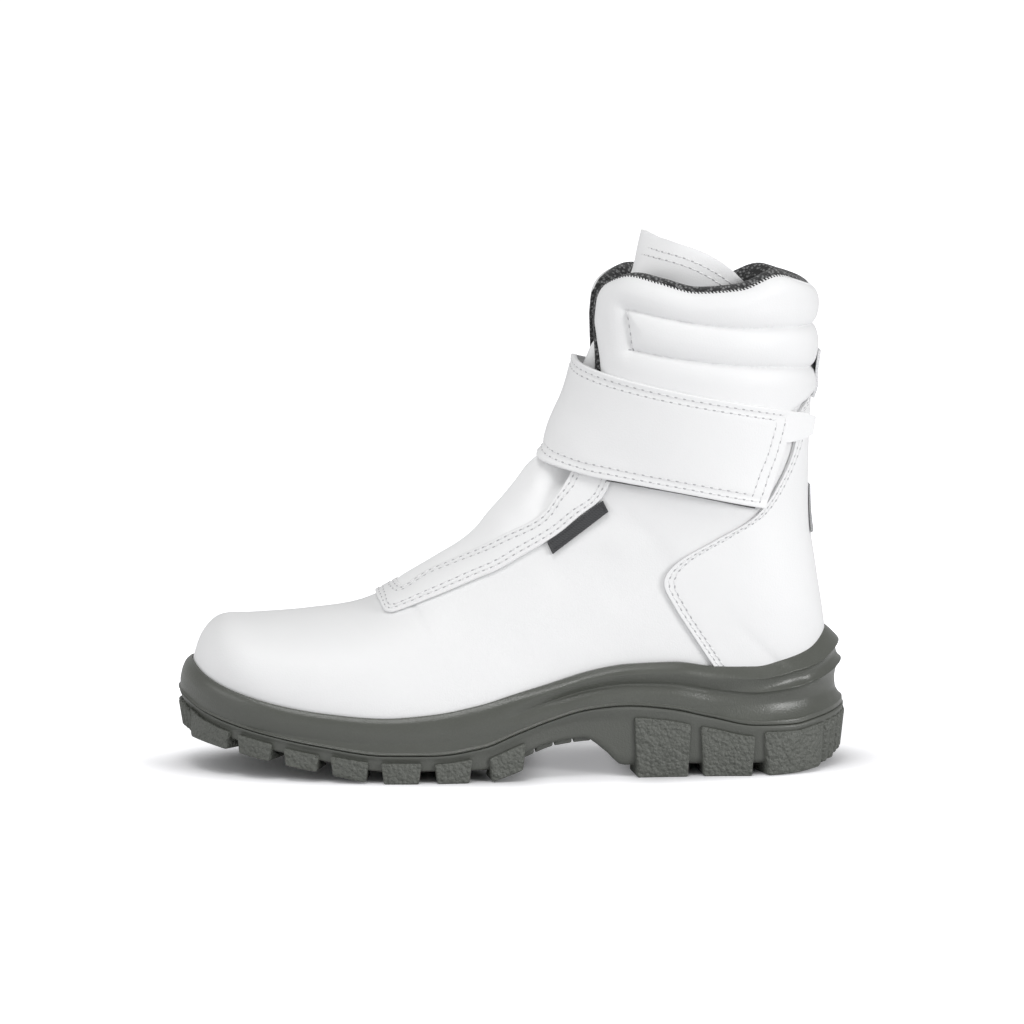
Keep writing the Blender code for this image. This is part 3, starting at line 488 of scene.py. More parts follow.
finishes = {
    "upper": microfibre("whiteUpper", (0.815, 0.818, 0.822), (0.860, 0.862, 0.864)),
    "panel": microfibre("whitePanel", (0.825, 0.828, 0.832), (0.870, 0.872, 0.874)),
    # the tongue's white is a lighter copy of the upper's: painted light that offsets the shade it sits in
    "tongue": microfibre("tongueWithPaintedLight", (0.905, 0.907, 0.911), (0.940, 0.942, 0.945), 0.55, 0.6),
    "collar": microfibre("softCollar", (0.805, 0.808, 0.812), (0.850, 0.852, 0.855), 0.5),
    "lining": knit("charcoalKnit", (0.008, 0.0085, 0.009), (0.250, 0.252, 0.255)),
    "insole": knit("insoleFelt", (0.03, 0.03, 0.032), (0.09, 0.09, 0.095), 1.0, 0.8),
    "tape": woven("whiteTape", (0.66, 0.665, 0.675), (0.80, 0.80, 0.805), 0.7),
    "label": woven("darkLabel", (0.028, 0.029, 0.031), (0.06, 0.061, 0.064), 0.6, 0.4),
    "hookTape": woven("hookTape", (0.05, 0.051, 0.052), (0.16, 0.162, 0.165), 0.85, 0.7),
    "loopTape": woven("loopTape", (0.55, 0.55, 0.56), (0.72, 0.72, 0.73), 0.9, 0.9),
    "reflector": woven("greyReflector", (0.30, 0.305, 0.31), (0.45, 0.455, 0.46), 0.35, 0.35),
    "midsole": mouldedSole("satinMidsole", (0.064, 0.068, 0.057), (0.084, 0.089, 0.076), 0.33, 0.03, 0.9),
    "outsole": mouldedSole("mouldedTread", (0.066, 0.070, 0.060), (0.088, 0.093, 0.080), 0.46, 0.05, 0.9),
    "lugs": mouldedSole("stippledLugs", (0.070, 0.075, 0.064), (0.106, 0.112, 0.097), 0.55, 1.0, 1.7),
    "thread": newFinish("whiteThread", 0.6, {"Base Color": (0.80, 0.80, 0.805, 1.0)})[0],
    # grey of the needle holes: painted shade
    "paintedHoleShade": newFinish("needleHoleShade", 0.9, {"Base Color": (0.47, 0.47, 0.48, 1.0)})[0],
}
print("finishes ready")

# Upper: one shell, open at the throat, the collar and underneath
throatForm = {
    "rows": (  # inner x, inner z, outer x, outer z of the band in side view
        (37.5, 175.0, 52.0, 160.0), (34.0, 153.0, 48.8, 145.0), (28.5, 137.0, 46.2, 135.2),
        (21.5, 126.5, 38.2, 122.6), (12.5, 116.0, 20.6, 108.6), (-4.0, 106.8, -0.4, 95.8),
        (-20.0, 98.0, -16.2, 88.2), (-36.0, 90.0, -33.0, 81.0), (-44.0, 84.9, -46.8, 75.4),
        (-47.4, 82.9, -55.6, 73.0), (-49.0, 83.1, -58.6, 76.2)),
    "toeX": -50.0, "bandToeX": -60.0, "gap": 0.5, "thickness": 1.5, "soft": 0.45, "grid": (170, 14),
    "stitches": (1.9, 4.2), "sink": 0.3, "sinkWide": 1.6,
}
collarForm = {
    "columns": "x seam lowerRoll upperRoll top",
    "rows": (
        (36, 176.0, 195.0, 206.0, 214.0), (41, 175.0, 195.0, 209.5, 221.0), (53, 171.0, 194.3, 212.0, 228.5),
        (66, 167.5, 192.0, 209.6, 226.0), (84, 164.5, 189.5, 206.5, 222.0), (103, 162.5, 187.5, 204.7, 223.2),
        (120, 163.0, 186.3, 204.2, 229.0), (130, 168.5, 185.0, 203.7, 226.0), (140, 174.0, 183.4, 203.3, 221.5)),
    "levels": (("seam", 170.0), ("lowerRoll", 190.0), ("upperRoll", 207.0), ("top", 225.0)),
    "front": (  # height, degrees
        (183.0, 34.5), (190.0, 30.0), (198.0, 25.0), (208.0, 20.8), (216.0, 20.8), (232.0, 22.0)),
    "middle": 200.0, "cornerX": 54.5, "cornerLean": 0.28, "cornerTall": 17.0, "lift": -1.2, "whiteEdge": 1.7,
    "farDrop": 3.0, "farStart": (0.15, 1.0), "farEnd": (1.7, 0.9), "plump": 4.0, "rollRadius": 9.0, "seamOut": 0.2,
    "edgeDrop": 1.6, "edges": ((0.0, 9.0), (0.4, 8.0), (0.6, 5.0)),  # front, top and seam: start, radius
    "fill": 0.75, "grid": (260, 96), "wall": 1.2, "soft": 0.4, "stitchPitch": 3.4, "stitchLift": 0.1,
}
upperForm = {
    "firstStation": 0.8, "rows": (60, 66, 42), "columns": 54,  # rows of the toe, the throat, the leg
    "wall": 2.2, "toeStation": 5.0,
    "dents": (  # soft troughs in side view: x, z from and to, half width, depth
        (24.0, 92.0, 40.0, 101.0, 7.0, 0.9), (48.0, 86.0, 66.0, 100.0, 8.0, 0.8),
        (-22.0, 70.0, -4.0, 60.0, 12.0, 0.5), (30.0, 120.0, 60.0, 112.0, 6.0, 0.5)),
}
edgeRows = [locate(row[0], row[1], medial) for row in reversed(throatForm["rows"])]
edgeStations = np.array([ridgeStation(throatForm["toeX"])] + [float(row[0]) for row in edgeRows])
edgeTurns = np.array([0.0] + [float(row[1]) for row in edgeRows])


def throatTurn(position):
    return along(edgeStations, edgeTurns, position)


def collarSeamStation(turn):
    def below(position):
        point = lastPoint(position, turn)
        return point[..., 2] - tableColumn(collarForm, "seam", point[..., 0])

    return solve(below, heelStation - 2.0, lastStation, turn)


def dents(point, table):
    depth = np.zeros(point.shape[:-1])
    for x0, z0, x1, z1, width, deep in table:
        run = np.array((x1 - x0, z1 - z0))
        share = np.clip(((point[..., 0] - x0) * run[0] + (point[..., 2] - z0) * run[1]) / (run @ run), 0.0, 1.0)
        away = np.hypot(point[..., 0] - x0 - share * run[0], point[..., 2] - z0 - share * run[1])
        depth += deep * np.exp(-(away / width) ** 2)
    return depth


def upperPlace(s, t, side):
    toeRows, throatRows, legRows = upperForm["rows"]
    row = s * sum(upperForm["rows"])
    first, opening = upperForm["firstStation"], edgeStations[0]
    position = np.where(row <= toeRows, first + (opening - first) * row / toeRows,
                        opening + (heelStation - opening) * (row - toeRows) / throatRows)
    position = np.minimum(position, heelStation)
    share = np.clip((row - toeRows - throatRows) / legRows, 0.0, 1.0)
    for _ in range(3):
        start = throatTurn(position)
        turn = start + (1.0 - start) * t
        top = collarSeamStation(turn)
        position = np.where(share > 0, heelStation + (top - heelStation) * share, position)
    point = lastPoint(position, side * turn)
    return skin(position, side * turn, -dents(point, upperForm["dents"]))


upperMesh = bmesh.new()
for side in (lateral, medial):
    gridMesh((sum(upperForm["rows"]), upperForm["columns"]), lambda s, t: upperPlace(s, t, side), upperMesh)
weldMesh(upperMesh)
bmesh.ops.recalc_face_normals(upperMesh, faces=upperMesh.faces)
toeTop = Vector(toPart(skin(upperForm["toeStation"], 0.0)))
toeFace = min(upperMesh.faces, key=lambda face: (face.calc_center_median() - toeTop).length)
if toeFace.normal.z < 0:
    bmesh.ops.reverse_faces(upperMesh, faces=upperMesh.faces)
upper = addPiece("upperShell", upperMesh, "upper lining", "upper")
thicken(upper, upperForm["wall"], -1.0, inner=1)
print("upper made")


# Throat band: a stitched overlay round the opening
bandRows = [np.concatenate([np.ravel(locate(r[0], r[1], lateral)), np.ravel(locate(r[2], r[3], lateral))])
            for r in throatForm["rows"]]
bandToe = np.array((ridgeStation(throatForm["toeX"]), 0.0, ridgeStation(throatForm["bandToeX"]), 0.0))
bandRows = bandRows + [bandToe] + [r * np.array((1, -1, 1, -1)) for r in reversed(bandRows)]


def bandPlain(s, t, out):
    innerAt, innerTurn, outerAt, outerTurn = rowsAt(bandRows, s)
    position, turn = innerAt + (outerAt - innerAt) * t, innerTurn + (outerTurn - innerTurn) * t
    return skin(position, turn, throatForm["gap"] + out)


def bandWidth(s):
    return np.linalg.norm(bandPlain(s, np.ones_like(s), 0.0) - bandPlain(s, np.zeros_like(s), 0.0), axis=-1)


def bandPlace(s, t, out):
    width = bandWidth(s)
    return bandPlain(s, t, out - sunk(throatForm, t * width) - sunk(throatForm, (1.0 - t) * width))


sheetPiece("throatBand", throatForm, bandPlace, "panel", "throat_band")
bandRun = np.linspace(0.02, 0.98, 400)
for away in throatForm["stitches"]:
    share = away / bandWidth(bandRun)
    for across in (share, 1.0 - share):
        sew(bandPlace, bandRun, across, throatForm["thickness"])
print("throat band made")


# Tongue: a deep flap that bulges through the throat and stands up out of the collar
tongueForm = {
    "columns": "station halfWidth middle wing shoulder",
    "rows": (
        (7.3, 0.17, 4.0, 4.0, 0.60), (7.9, 0.24, 3.8, 4.0, 0.50), (8.6, 0.32, 2.2, 4.0, 0.45),
        (9.4, 0.37, 0.8, 4.0, 0.55), (11.0, 0.42, 0.6, 4.0, 0.60), (13.5, 0.42, 0.6, 5.0, 0.48),
        (17.0, 0.42, 1.2, 9.2, 0.28), (19.0, 0.45, 3.0, 9.4, 0.24), (20.0, 0.47, 7.5, 9.5, 0.24),
        (21.0, 0.50, 14.0, 11.0, 0.24), (22.0, 0.57, 18.0, 13.0, 0.24), (23.0, 0.64, 18.5, 13.5, 0.24),
        (24.0, 0.68, 12.0, 11.0, 0.24), (24.7, 0.70, 5.0, 9.8, 0.24)),
    "nearWing": 23.2, "farWing": 20.8, "bow": 1.55, "level": 0.12, "spread": 0.45, "flat": 0.2,
    "thickness": 2.6, "soft": 0.6, "grid": (170, 70), "stitches": (5.4, 8.6), "run": 290.0,
}
flapForm = {  # the part of it that fills the throat
    "columns": "station crest fold",
    "rows": (
        (7.3, 1.7, 0.0), (8.7, 1.6, 0.0), (9.7, 0.9, 0.0), (10.6, 0.0, 0.3), (11.4, -0.4, 2.2),
        (12.2, -0.6, 5.6), (13.2, -0.6, 8.4), (15.0, -0.6, 9.0)),
    "narrowest": 0.02, "edge": 1.7, "swell": (0.3, 0.95), "foldAt": 0.9, "foldWide": 0.2,
    "tuck": -3.4, "tuckOver": (0.01, 0.06), "start": (7.35, 7.75), "end": (14.0, 15.5),
    "dents": ((-19.0, 97.0, -12.0, 106.0, 6.5, 1.0),),
}


def flapRise(position, turn):
    opening = np.maximum(throatTurn(position), flapForm["narrowest"])
    share = np.abs(turn) / opening
    crest, fold = (tableColumn(flapForm, k, position) for k in ("crest", "fold"))
    rise = crest + (flapForm["edge"] - crest) * ease(share, *flapForm["swell"])
    rise = rise - fold * np.exp(-((share - flapForm["foldAt"]) / flapForm["foldWide"]) ** 2)
    rise = rise - dents(lastPoint(position, turn), flapForm["dents"])
    past = ease(np.abs(turn) - opening, *flapForm["tuckOver"])
    hidden = np.maximum(past, 1.0 - ease(position, *flapForm["start"]))
    return rise + (flapForm["tuck"] - rise) * hidden


def tonguePlace(s, t, out):
    first, last = tongueForm["rows"][0][0], tongueForm["rows"][-1][0]
    spread, level = tongueForm["spread"], tongueForm["level"]
    across = 2.0 * t - 1.0
    across = across * (spread + (1.0 - spread) * np.abs(across))
    nearDrop = np.clip((-across - level) / (1.0 - level), 0.0, 1.0) ** tongueForm["bow"]
    farDrop = np.clip(across, 0.0, 1.0)
    centre, near, far = (first + (end - first) * s for end in (last, tongueForm["nearWing"], tongueForm["farWing"]))
    position = centre + (near - centre) * nearDrop + (far - centre) * farDrop
    half, middle, edge, shoulder = (tableColumn(tongueForm, k, position)
                                    for k in ("halfWidth", "middle", "wing", "shoulder"))
    rise = -middle - (edge - middle) * ease(np.abs(across), tongueForm["flat"] * shoulder, shoulder)
    flap = flapRise(position, half * across)
    rise = flap + (rise - flap) * ease(position, *flapForm["end"])
    return skin(position, half * across, out + rise - tongueForm["thickness"])


# its finish is the lighter white with painted light
sheetPiece("tongueFlap", tongueForm, tonguePlace, "tongue", "tongue")
print("tongue made")


# Collar: sewn rolls round the ankle, one of them turned down the front edge
def collarLines(angle):
    lines = [tableColumn(collarForm, column, levelSkin(level, angle)[..., 0])
             for column, level in collarForm["levels"]]
    lines[0] = lines[0] + collarForm["lift"]
    far = ease(angle, *(math.pi + past for past in collarForm["farStart"]))
    far = far * (1.0 - ease(angle, *(math.tau - before for before in collarForm["farEnd"])))
    lines[3] = lines[3] - collarForm["farDrop"] * far
    return lines


def folded(angle):
    return np.minimum(angle % math.tau, math.tau - angle % math.tau)


def collarFront(z):
    return np.radians(along(*np.array(collarForm["front"]).T, z))


collarAngles = np.linspace(0.0, math.pi, 400)
collarPath = levelSkin(collarForm["middle"], collarAngles)
collarRun = runAlong(collarPath)
cornerAngle = float(np.interp(collarForm["cornerX"], collarPath[:, 0], collarAngles))
cornerRun = float(np.interp(cornerAngle, collarAngles, collarRun))


def roundEdge(away, radius):
    u = np.clip(away / radius, 0.0, 1.0)
    return np.sqrt(1.0 - (1.0 - u) ** 2)


def collarOut(angle, z, lines):
    run = np.interp(folded(angle), collarAngles, collarRun)
    past = run - cornerRun + collarForm["cornerLean"] * (z - collarForm["middle"])
    ahead = np.maximum(-past, 0.0)
    low, high = z - lines[1], z - lines[2]
    across = np.hypot(past, np.maximum(np.maximum(-low, high), 0.0))
    away = np.minimum(np.minimum(np.hypot(ahead, low), np.hypot(ahead, high)), across)
    pillow = collarForm["seamOut"] + collarForm["plump"] * roundEdge(away, collarForm["rollRadius"])
    front = run - np.interp(collarFront(z), collarAngles, collarRun)
    top = lines[3] - collarForm["whiteEdge"] - z
    edge = 1.0
    for inside, (start, radius) in zip((front, top, z - lines[0]), collarForm["edges"]):
        edge = edge * roundEdge(inside + start, radius)
    return (pillow + collarForm["edgeDrop"]) * edge - collarForm["edgeDrop"]


def collarPlace(s, t, out):
    s, t = np.broadcast_arrays(s, t)
    z = np.full(s.shape, collarForm["middle"])
    for _ in range(4):
        front = collarFront(z)
        angle = front + (math.tau - 2.0 * front) * s
        lines = collarLines(angle)
        top = lines[3] - collarForm["whiteEdge"]
        z = lines[0] + (top - lines[0]) * t
    return levelSkin(z, angle, collarOut(angle, z, lines) + out)


collar = addPiece("collarRolls", sheetMesh(collarForm, collarPlace), "collar lining", "collar")
thicken(collar, collarForm["wall"], -1.0, inner=1, soft=collarForm["soft"])
binding = {"pitch": 1.6, "grain": (1.9, 0.75, 0.7), "beyond": 0.45, "within": 0.985, "fronts": (0.15, 0.97)}
bindingMesh = bmesh.new()


def bind(s, t):  # short stitches across the collar's edge
    path = collarPlace(s, t, 0.0)
    inside = collarPlace(0.5 + (s - 0.5) * binding["within"], t * binding["within"], 0.0)
    tall = collarPlace(s, t, 1.0) - path
    run = runAlong(path)
    at = rowsAlong(run)
    for distance in np.arange(0.5 * binding["pitch"], run[-1], binding["pitch"]):
        spot, within, up = (at(distance, rows) for rows in (path, inside, tall))
        over = (spot - within) / np.linalg.norm(spot - within)
        grain(bindingMesh, toPart(spot + binding["beyond"] * over), over, up, *binding["grain"])


edgeRun = np.linspace(0.0, 1.0, 500)
bind(edgeRun, np.ones_like(edgeRun))
for edge in (0.0, 1.0):
    bind(np.full_like(edgeRun, edge), np.linspace(*binding["fronts"], len(edgeRun)))
addPiece("collarBinding", bindingMesh, "panel")


def seamPlace(s, t, out):  # by angle, and from the lower seam to the upper one
    lines = collarLines(s)
    z = lines[1] + (lines[2] - lines[1]) * t
    return levelSkin(z, s, collarOut(s, z, lines) + out)


seamAngles = np.linspace(cornerAngle + 0.02, math.tau - cornerAngle - 0.02, 360)
upright = np.linspace(0.02, 0.98, 30)
leaning = cornerRun - collarForm["cornerLean"] * collarForm["cornerTall"] * (upright - 0.5)
leaning = np.interp(leaning, collarRun, collarAngles)
for angle, share in ((seamAngles, np.zeros_like(seamAngles)), (seamAngles, np.ones_like(seamAngles)),
                     (leaning, upright), (math.tau - leaning, upright)):
    sew(seamPlace, angle, share, collarForm["stitchLift"], collarForm["stitchPitch"])

# Lining: charcoal knit, rolled over the collar's edge and down the leg
liningForm = {
    "path": (  # height against the collar's top, distance off the last
        (-3.4, -0.9), (-0.9, -1.3), (0.5, -2.6), (0.7, -4.2), (-0.8, -6.0), (-4.5, -7.4), (-12.0, -7.9)),
    "ahead": 5.5, "full": 4.0, "frontOut": -0.5, "frontDrop": 6.0, "thickness": 0.8, "grid": (240, 80),
    "legRows": 3, "legDrop": 9.0, "legOut": -3.0,
}


def liningPlace(s, t, out):
    s, t = np.broadcast_arrays(s, t)
    rollRows, legRows = len(liningForm["path"]) - 1, liningForm["legRows"]
    row = t * (rollRows + legRows)
    rise, off = np.moveaxis(through(liningForm["path"], row), -1, 0)
    below = np.clip((row - rollRows) / legRows, 0.0, 1.0)
    ahead, full = np.radians((liningForm["ahead"], liningForm["full"]))
    height = np.full(s.shape, collarForm["middle"])
    for _ in range(4):
        first = collarFront(height) - ahead
        angle = first + (math.tau - 2.0 * first) * s
        lines = collarLines(angle)
        tucked = 1.0 - ease(folded(angle), first, first + ahead + full)
        height = lines[3] + rise - liningForm["frontDrop"] * tucked ** 2
        height = height + (lines[0] - liningForm["legDrop"] - height) * below
    off = off + (liningForm["legOut"] - off) * ease(below, 0.5, 1.0)
    off = off + (np.maximum(off, liningForm["frontOut"]) - off) * tucked
    return levelSkin(height, angle, off + out)


liningMesh = gridMesh(liningForm["grid"], lambda s, t: liningPlace(s, t, 0.0))
weldMesh(liningMesh)
lining = addPiece("collarLining", liningMesh, "lining")
thicken(lining, liningForm["thickness"], 0.0)
print("collar made")

# Strap and the tapes that wrap the leg: low and top angle, heights, distance off the upper
strapForm = {
    "rows": (
        (-100.0, -106.0, 130.0, 175.0, 2.8, 4.2), (-60.0, -60.0, 136.0, 181.0, 2.8, 4.2),
        (-28.0, -28.0, 140.4, 185.4, 0.4, 4.4), (0.0, 0.0, 143.9, 188.0, -2.0, 1.8),
        (28.0, 28.0, 139.6, 185.0, 1.6, 4.4), (60.0, 60.0, 135.6, 180.3, 2.8, 4.2),
        (95.0, 95.0, 130.4, 174.0, 3.0, 4.2), (132.0, 142.0, 122.0, 165.8, 2.4, 2.6)),
    "thickness": 2.2, "soft": 0.6, "grid": (210, 60), "width": 44.0, "length": 165.0, "start": 0.02,
    "stitches": (2.4, 5.0), "sink": 0.35, "sinkWide": 1.7,
    "dome": 2.7, "domeRow": 3.0, "domeAt": 0.26, "domeWide": 0.26,
}
tabForm = {
    "rows": ((136.5, 136.0, 151.6, 166.4, 2.8, 2.6), (148.0, 148.0, 152.4, 165.0, 4.4, 4.2),
             (156.0, 158.0, 154.4, 162.6, 6.0, 6.0)),
    "thickness": 1.8, "soft": 0.5, "grid": (30, 20),
}
padForm = {
    "rows": ((83.0, 83.0, 131.2, 160.0, 0.5, 0.5), (104.0, 104.0, 127.8, 158.0, 0.5, 0.5),
             (119.0, 117.0, 123.8, 156.0, 0.5, 0.5)),
    "thickness": 1.0, "soft": 0.3, "grid": (50, 30),
}
reflectorForm = {
    "rows": ((168.5, 173.5, 107.0, 128.5, 2.5, 2.2), (191.5, 186.5, 107.0, 128.5, 2.5, 2.2)),
    "thickness": 0.9, "soft": 0.3, "grid": (40, 30),
}
pullForm = {
    "rows": ((169.0, 169.0, 169.5, 191.0, 2.2, 4.2), (191.0, 191.0, 169.5, 191.0, 2.2, 4.2)),
    "thickness": 1.4, "soft": 0.4, "grid": (30, 30), "dome": 1.0, "domeAt": 0.26, "domeWide": 0.2,
}


def wrapped(form, relief=None):
    def place(s, t, out):
        s, t = np.broadcast_arrays(s, t)
        lowDeg, topDeg, lowZ, topZ, lowOut, topOut = rowsAt(form["rows"], s)
        angle = np.radians(lowDeg + (topDeg - lowDeg) * t)
        lift = relief(s, t) if relief else 0.0
        return levelSkin(lowZ + (topZ - lowZ) * t, angle, lowOut + (topOut - lowOut) * t + out + lift)
    return place


def dome(form, t):
    return form["dome"] * np.exp(-((t - form["domeAt"]) / form["domeWide"]) ** 2)


def strapRelief(s, t):  # full over the front, drawn in along its seams
    front = np.exp(-((len(strapForm["rows"]) - 1) * s - strapForm["domeRow"]) ** 2)
    edges = (t * strapForm["width"], (1.0 - t) * strapForm["width"], (1.0 - s) * strapForm["length"])
    return front * dome(strapForm, t) - sum(sunk(strapForm, away) for away in edges)


strapPlace = wrapped(strapForm, strapRelief)
sheetPiece("closingStrap", strapForm, strapPlace, "panel", "strap")
for away in strapForm["stitches"]:
    up, end = away / strapForm["width"], away / strapForm["length"]
    run, rise = np.linspace(strapForm["start"], 1.0 - end, 300), np.linspace(up, 1.0 - up, 120)
    for level in (up, 1.0 - up):
        sew(strapPlace, run, np.full_like(run, level), strapForm["thickness"])
    for place in (1.0 - end, strapForm["start"] + end):
        sew(strapPlace, np.full_like(rise, place), rise, strapForm["thickness"])
hookForm = {
    "from": 0.74, "to": 0.985, "low": -0.016, "top": 0.3, "under": 1.0, "thickness": 0.9, "soft": 0.2, "grid": (70, 16),
}


def hookPlace(s, t, out):  # dark hook tape sewn under the strap, its edge just showing
    run = hookForm["from"] + (hookForm["to"] - hookForm["from"]) * s
    return strapPlace(run, hookForm["low"] + (hookForm["top"] - hookForm["low"]) * t, out - hookForm["under"])


pullPlace = wrapped(pullForm, lambda s, t: dome(pullForm, t))  # it stands clear of the collar's lowest roll
sheetPiece("hookTape", hookForm, hookPlace, "hookTape", None)
sheetPiece("gripTab", tabForm, wrapped(tabForm), "panel", "strap_tab")
sheetPiece("fasteningPad", padForm, wrapped(padForm), "loopTape", "fastening_pad")
sheetPiece("heelReflector", reflectorForm, wrapped(reflectorForm), "reflector", "reflector")
sheetPiece("pullTab", pullForm, pullPlace, "tape", "pull_loop")
print("strap and tapes made")

# Sole: heights along its length, side profiles, lugs and tread blocks
soleForm = {
    "columns": "x tread base cup parting rand",
    "rows": (
        (-152, 15.8, 20.0, 23.0, 35.5, 49.6), (-142, 14.3, 19.0, 22.0, 28.3, 44.0),
        (-130, 12.3, 17.0, 20.0, 24.3, 39.5), (-110, 8.4, 13.2, 16.4, 19.8, 34.6),
        (-88, 4.6, 9.6, 12.8, 16.1, 31.4), (-58, 0.0, 5.2, 9.4, 12.5, 29.4),
        (-35, 0.0, 5.2, 9.4, 12.4, 30.9), (-12, 0.0, 5.2, 10.4, 15.4, 34.8),
        (4, 4.0, 10.5, 14.5, 21.2, 39.3), (20, 12.0, 16.5, 18.5, 26.8, 43.7),
        (38, 14.0, 18.5, 20.5, 31.4, 48.9), (48, 8.0, 12.5, 20.0, 32.5, 50.9),
        (57, 0.0, 5.5, 19.0, 33.0, 52.0), (80, 0.0, 5.5, 19.0, 31.0, 52.6),
        (100, 0.0, 5.5, 19.0, 26.8, 50.2), (120, 0.0, 5.5, 18.5, 23.0, 49.6),
        (135, 0.6, 5.9, 18.5, 22.9, 52.7), (146, 2.4, 7.4, 18.5, 25.0, 56.2),
        (156, 6.0, 10.0, 18.5, 27.6, 64.6)),
    "front": -151.2, "rear": 155.2, "steps": 320, "waistSpan": (-10.0, 35.0), "heelSpan": (96.0, 140.0),
    "wall": {  # how far the midsole stands off the upper, parting line to rand
        "columns": "level fore waist",
        "rows": (
            (0.00, 5.7, 5.4), (0.045, 6.4, 6.1), (0.09, 5.5, 5.2), (0.14, 5.4, 5.1), (0.30, 5.1, 4.5),
            (0.42, 4.8, 3.3), (0.50, 4.6, 2.3), (0.58, 4.4, 3.4), (0.69, 4.0, 4.9), (0.78, 3.6, 5.6),
            (0.86, 3.1, 5.1), (0.93, 2.3, 4.0), (1.00, 1.2, 2.4))},
    "crests": ((0.0, 13.1), (0.07, 12.9), (0.56, 10.4), (0.80, 8.6)), "flutes": (0.0, 3.2, 2.1), "fluteShape": 0.62,
    "heelTop": 1.4, "heelTopShape": 1.15, "wallSteps": 44,
    "levels": (0.02, 0.045, 0.065, 0.08, 0.09, 0.11, 0.5, 0.55, 0.56, 0.57, 0.79, 0.80, 0.81),  # further rings there
    "outsoleSide": ((0.0, -2.4), (0.10, -1.0), (0.70, -0.5), (0.92, 0.4), (1.0, 0.4)), "sideSteps": 16,
    "cupWall": 1.8, "gap": 0.3, "tray": ((1.0, 0.5), (0.7, 1.1), (0.35, 1.3), (0.0, 1.3)), "trayGap": 1.0,
    "angleStep": 0.03,
}
lugForm = {
    "rows": (  # start, end, drop below the parting line, reach inwards
        (-147.4, -129.5, 3.6, 12.0), (-125.8, -110.5, 3.2, 17.0), (-105.1, -88.9, 3.6, 17.0),
        (-83.5, -65.9, 3.0, 17.0), (-60.1, -41.2, 3.0, 17.0), (-35.0, -17.4, 3.4, 17.0), (-9.1, 8.5, 5.2, 15.0),
        (62.2, 90.2, 5.2, 18.0), (95.1, 119.2, 4.8, 18.0), (123.2, 152.5, 2.8, 18.0)),
    "proud": 1.7, "topProud": 1.0, "draft": 1.2, "bury": 1.6, "bevel": 0.9, "loopPitch": 0.65,
    "gauge": (10.0, 8.0),  # height and distance out at which a lug's length is taken
    "foot": (1.3, 0.35, 0.6),  # only the foot reaches under the sole: wall above it, levels between
    "ends": (  # angle, x, drop, reach, lift, further proud
        (0.0, -146.4, 5.0, 8.0, 1.8, 3.0), (math.pi, 151.6, 2.8, 10.0, 1.0, 0.0)),
    "groovePitch": 4.8, "grooveDeep": 2.0, "grooveShape": 0.6, "undercut": 2.6,
    "grooved": (-145.4, 144.0), "groovedOver": 3.0,  # before and past these x
    "archRibs": {"from": 6.0, "to": 56.0, "pitch": 8.6, "length": 8.0, "width": 74.0, "hang": 1.8, "bury": 2.0,
                 "gaugeZ": 15.0},
    "blocks": (  # x, y, length, width
        (-116, 22, 14, 18), (-116, -8, 14, 18), (-94, 21, 14, 18), (-94, -13, 14, 18), (-72, 18, 14, 18),
        (-72, -16, 14, 18), (-50, 16, 14, 18), (-50, -17, 14, 18), (-28, 12, 14, 18), (-28, -16, 14, 18),
        (76, 0, 16, 20), (100, 0, 16, 20), (124, 0, 14, 18)),
    "taper": 0.86,
}
soleEnds = soleForm["front"], soleForm["rear"]
lastEnds = lastForm["stations"][1][0], lastForm["stations"][heelStation + 2][2]


def soleX(angle):
    front, rear = soleEnds
    return 0.5 * (front + rear) - 0.5 * (rear - front) * np.cos(angle)


def soleAngle(x, ends=soleEnds):
    front, rear = ends
    return np.arccos(np.clip((0.5 * (front + rear) - x) / (0.5 * (rear - front)), -1.0, 1.0))


def soleUnder(x):  # x on the sole below a place on the last
    return soleX(soleAngle(x, lastEnds))


keelRows = np.array([(soleUnder(row[2]), row[3]) for row in lastForm["stations"][:heelStation + 1]])


def floorHeight(x):
    return along(keelRows[:, 0], keelRows[:, 1], x)


def soleHeight(column, x):
    return tableColumn(soleForm, column, x)


def solePoint(angle, z, out):  # out from the upper's plan outline at that height
    angle, z, out = alike(angle, z, out)
    level = np.maximum(z, floorHeight(soleX(angle)) + 1.0)
    run = levelSkin(level, angle + soleForm["angleStep"]) - levelSkin(level, angle - soleForm["angleStep"])
    outwards = np.stack((-run[..., 1], run[..., 0]), axis=-1)
    outwards /= np.maximum(np.linalg.norm(outwards, axis=-1, keepdims=True), 1e-9)
    facing = -outwards[..., 0] * np.cos(angle) - outwards[..., 1] * np.sin(angle)
    outwards *= np.where(facing < 0, -1.0, 1.0)[..., None]
    point = levelSkin(level, angle)[..., :2] + outwards * out[..., None]
    return np.concatenate((point, z[..., None]), axis=-1)


def fluted(level):  # the heel's ribs: sharp crests with hollows between
    crests = soleForm["crests"]
    out = np.interp(level, *np.array(crests).T)
    for (low, _), (high, _), deep in zip(crests, crests[1:], soleForm["flutes"]):
        share = np.clip((level - low) / (high - low), 0.0, 1.0)
        out = out - deep * np.sin(math.pi * share) ** soleForm["fluteShape"]
    top, topOut = crests[-1]
    bend = np.clip((level - top) / (1.0 - top), 0.0, 1.0) ** soleForm["heelTopShape"]
    return out + (soleForm["heelTop"] - topOut) * bend


def wallOut(angle, level):
    x = soleX(angle)
    heel = ease(x, *soleForm["heelSpan"])
    waist = ease(x, *soleForm["waistSpan"]) * (1.0 - heel)
    fore, middle = (tableColumn(soleForm["wall"], k, level) for k in ("fore", "waist"))
    return fluted(level) * heel + middle * waist + fore * (1.0 - heel - waist)


soleAngles = np.arange(soleForm["steps"]) * math.tau / soleForm["steps"]
soleXs = soleX(soleAngles)
soleEdge = wallOut(soleAngles, 0.0)


def soleRing(z, out):
    return solePoint(soleAngles, z, out)


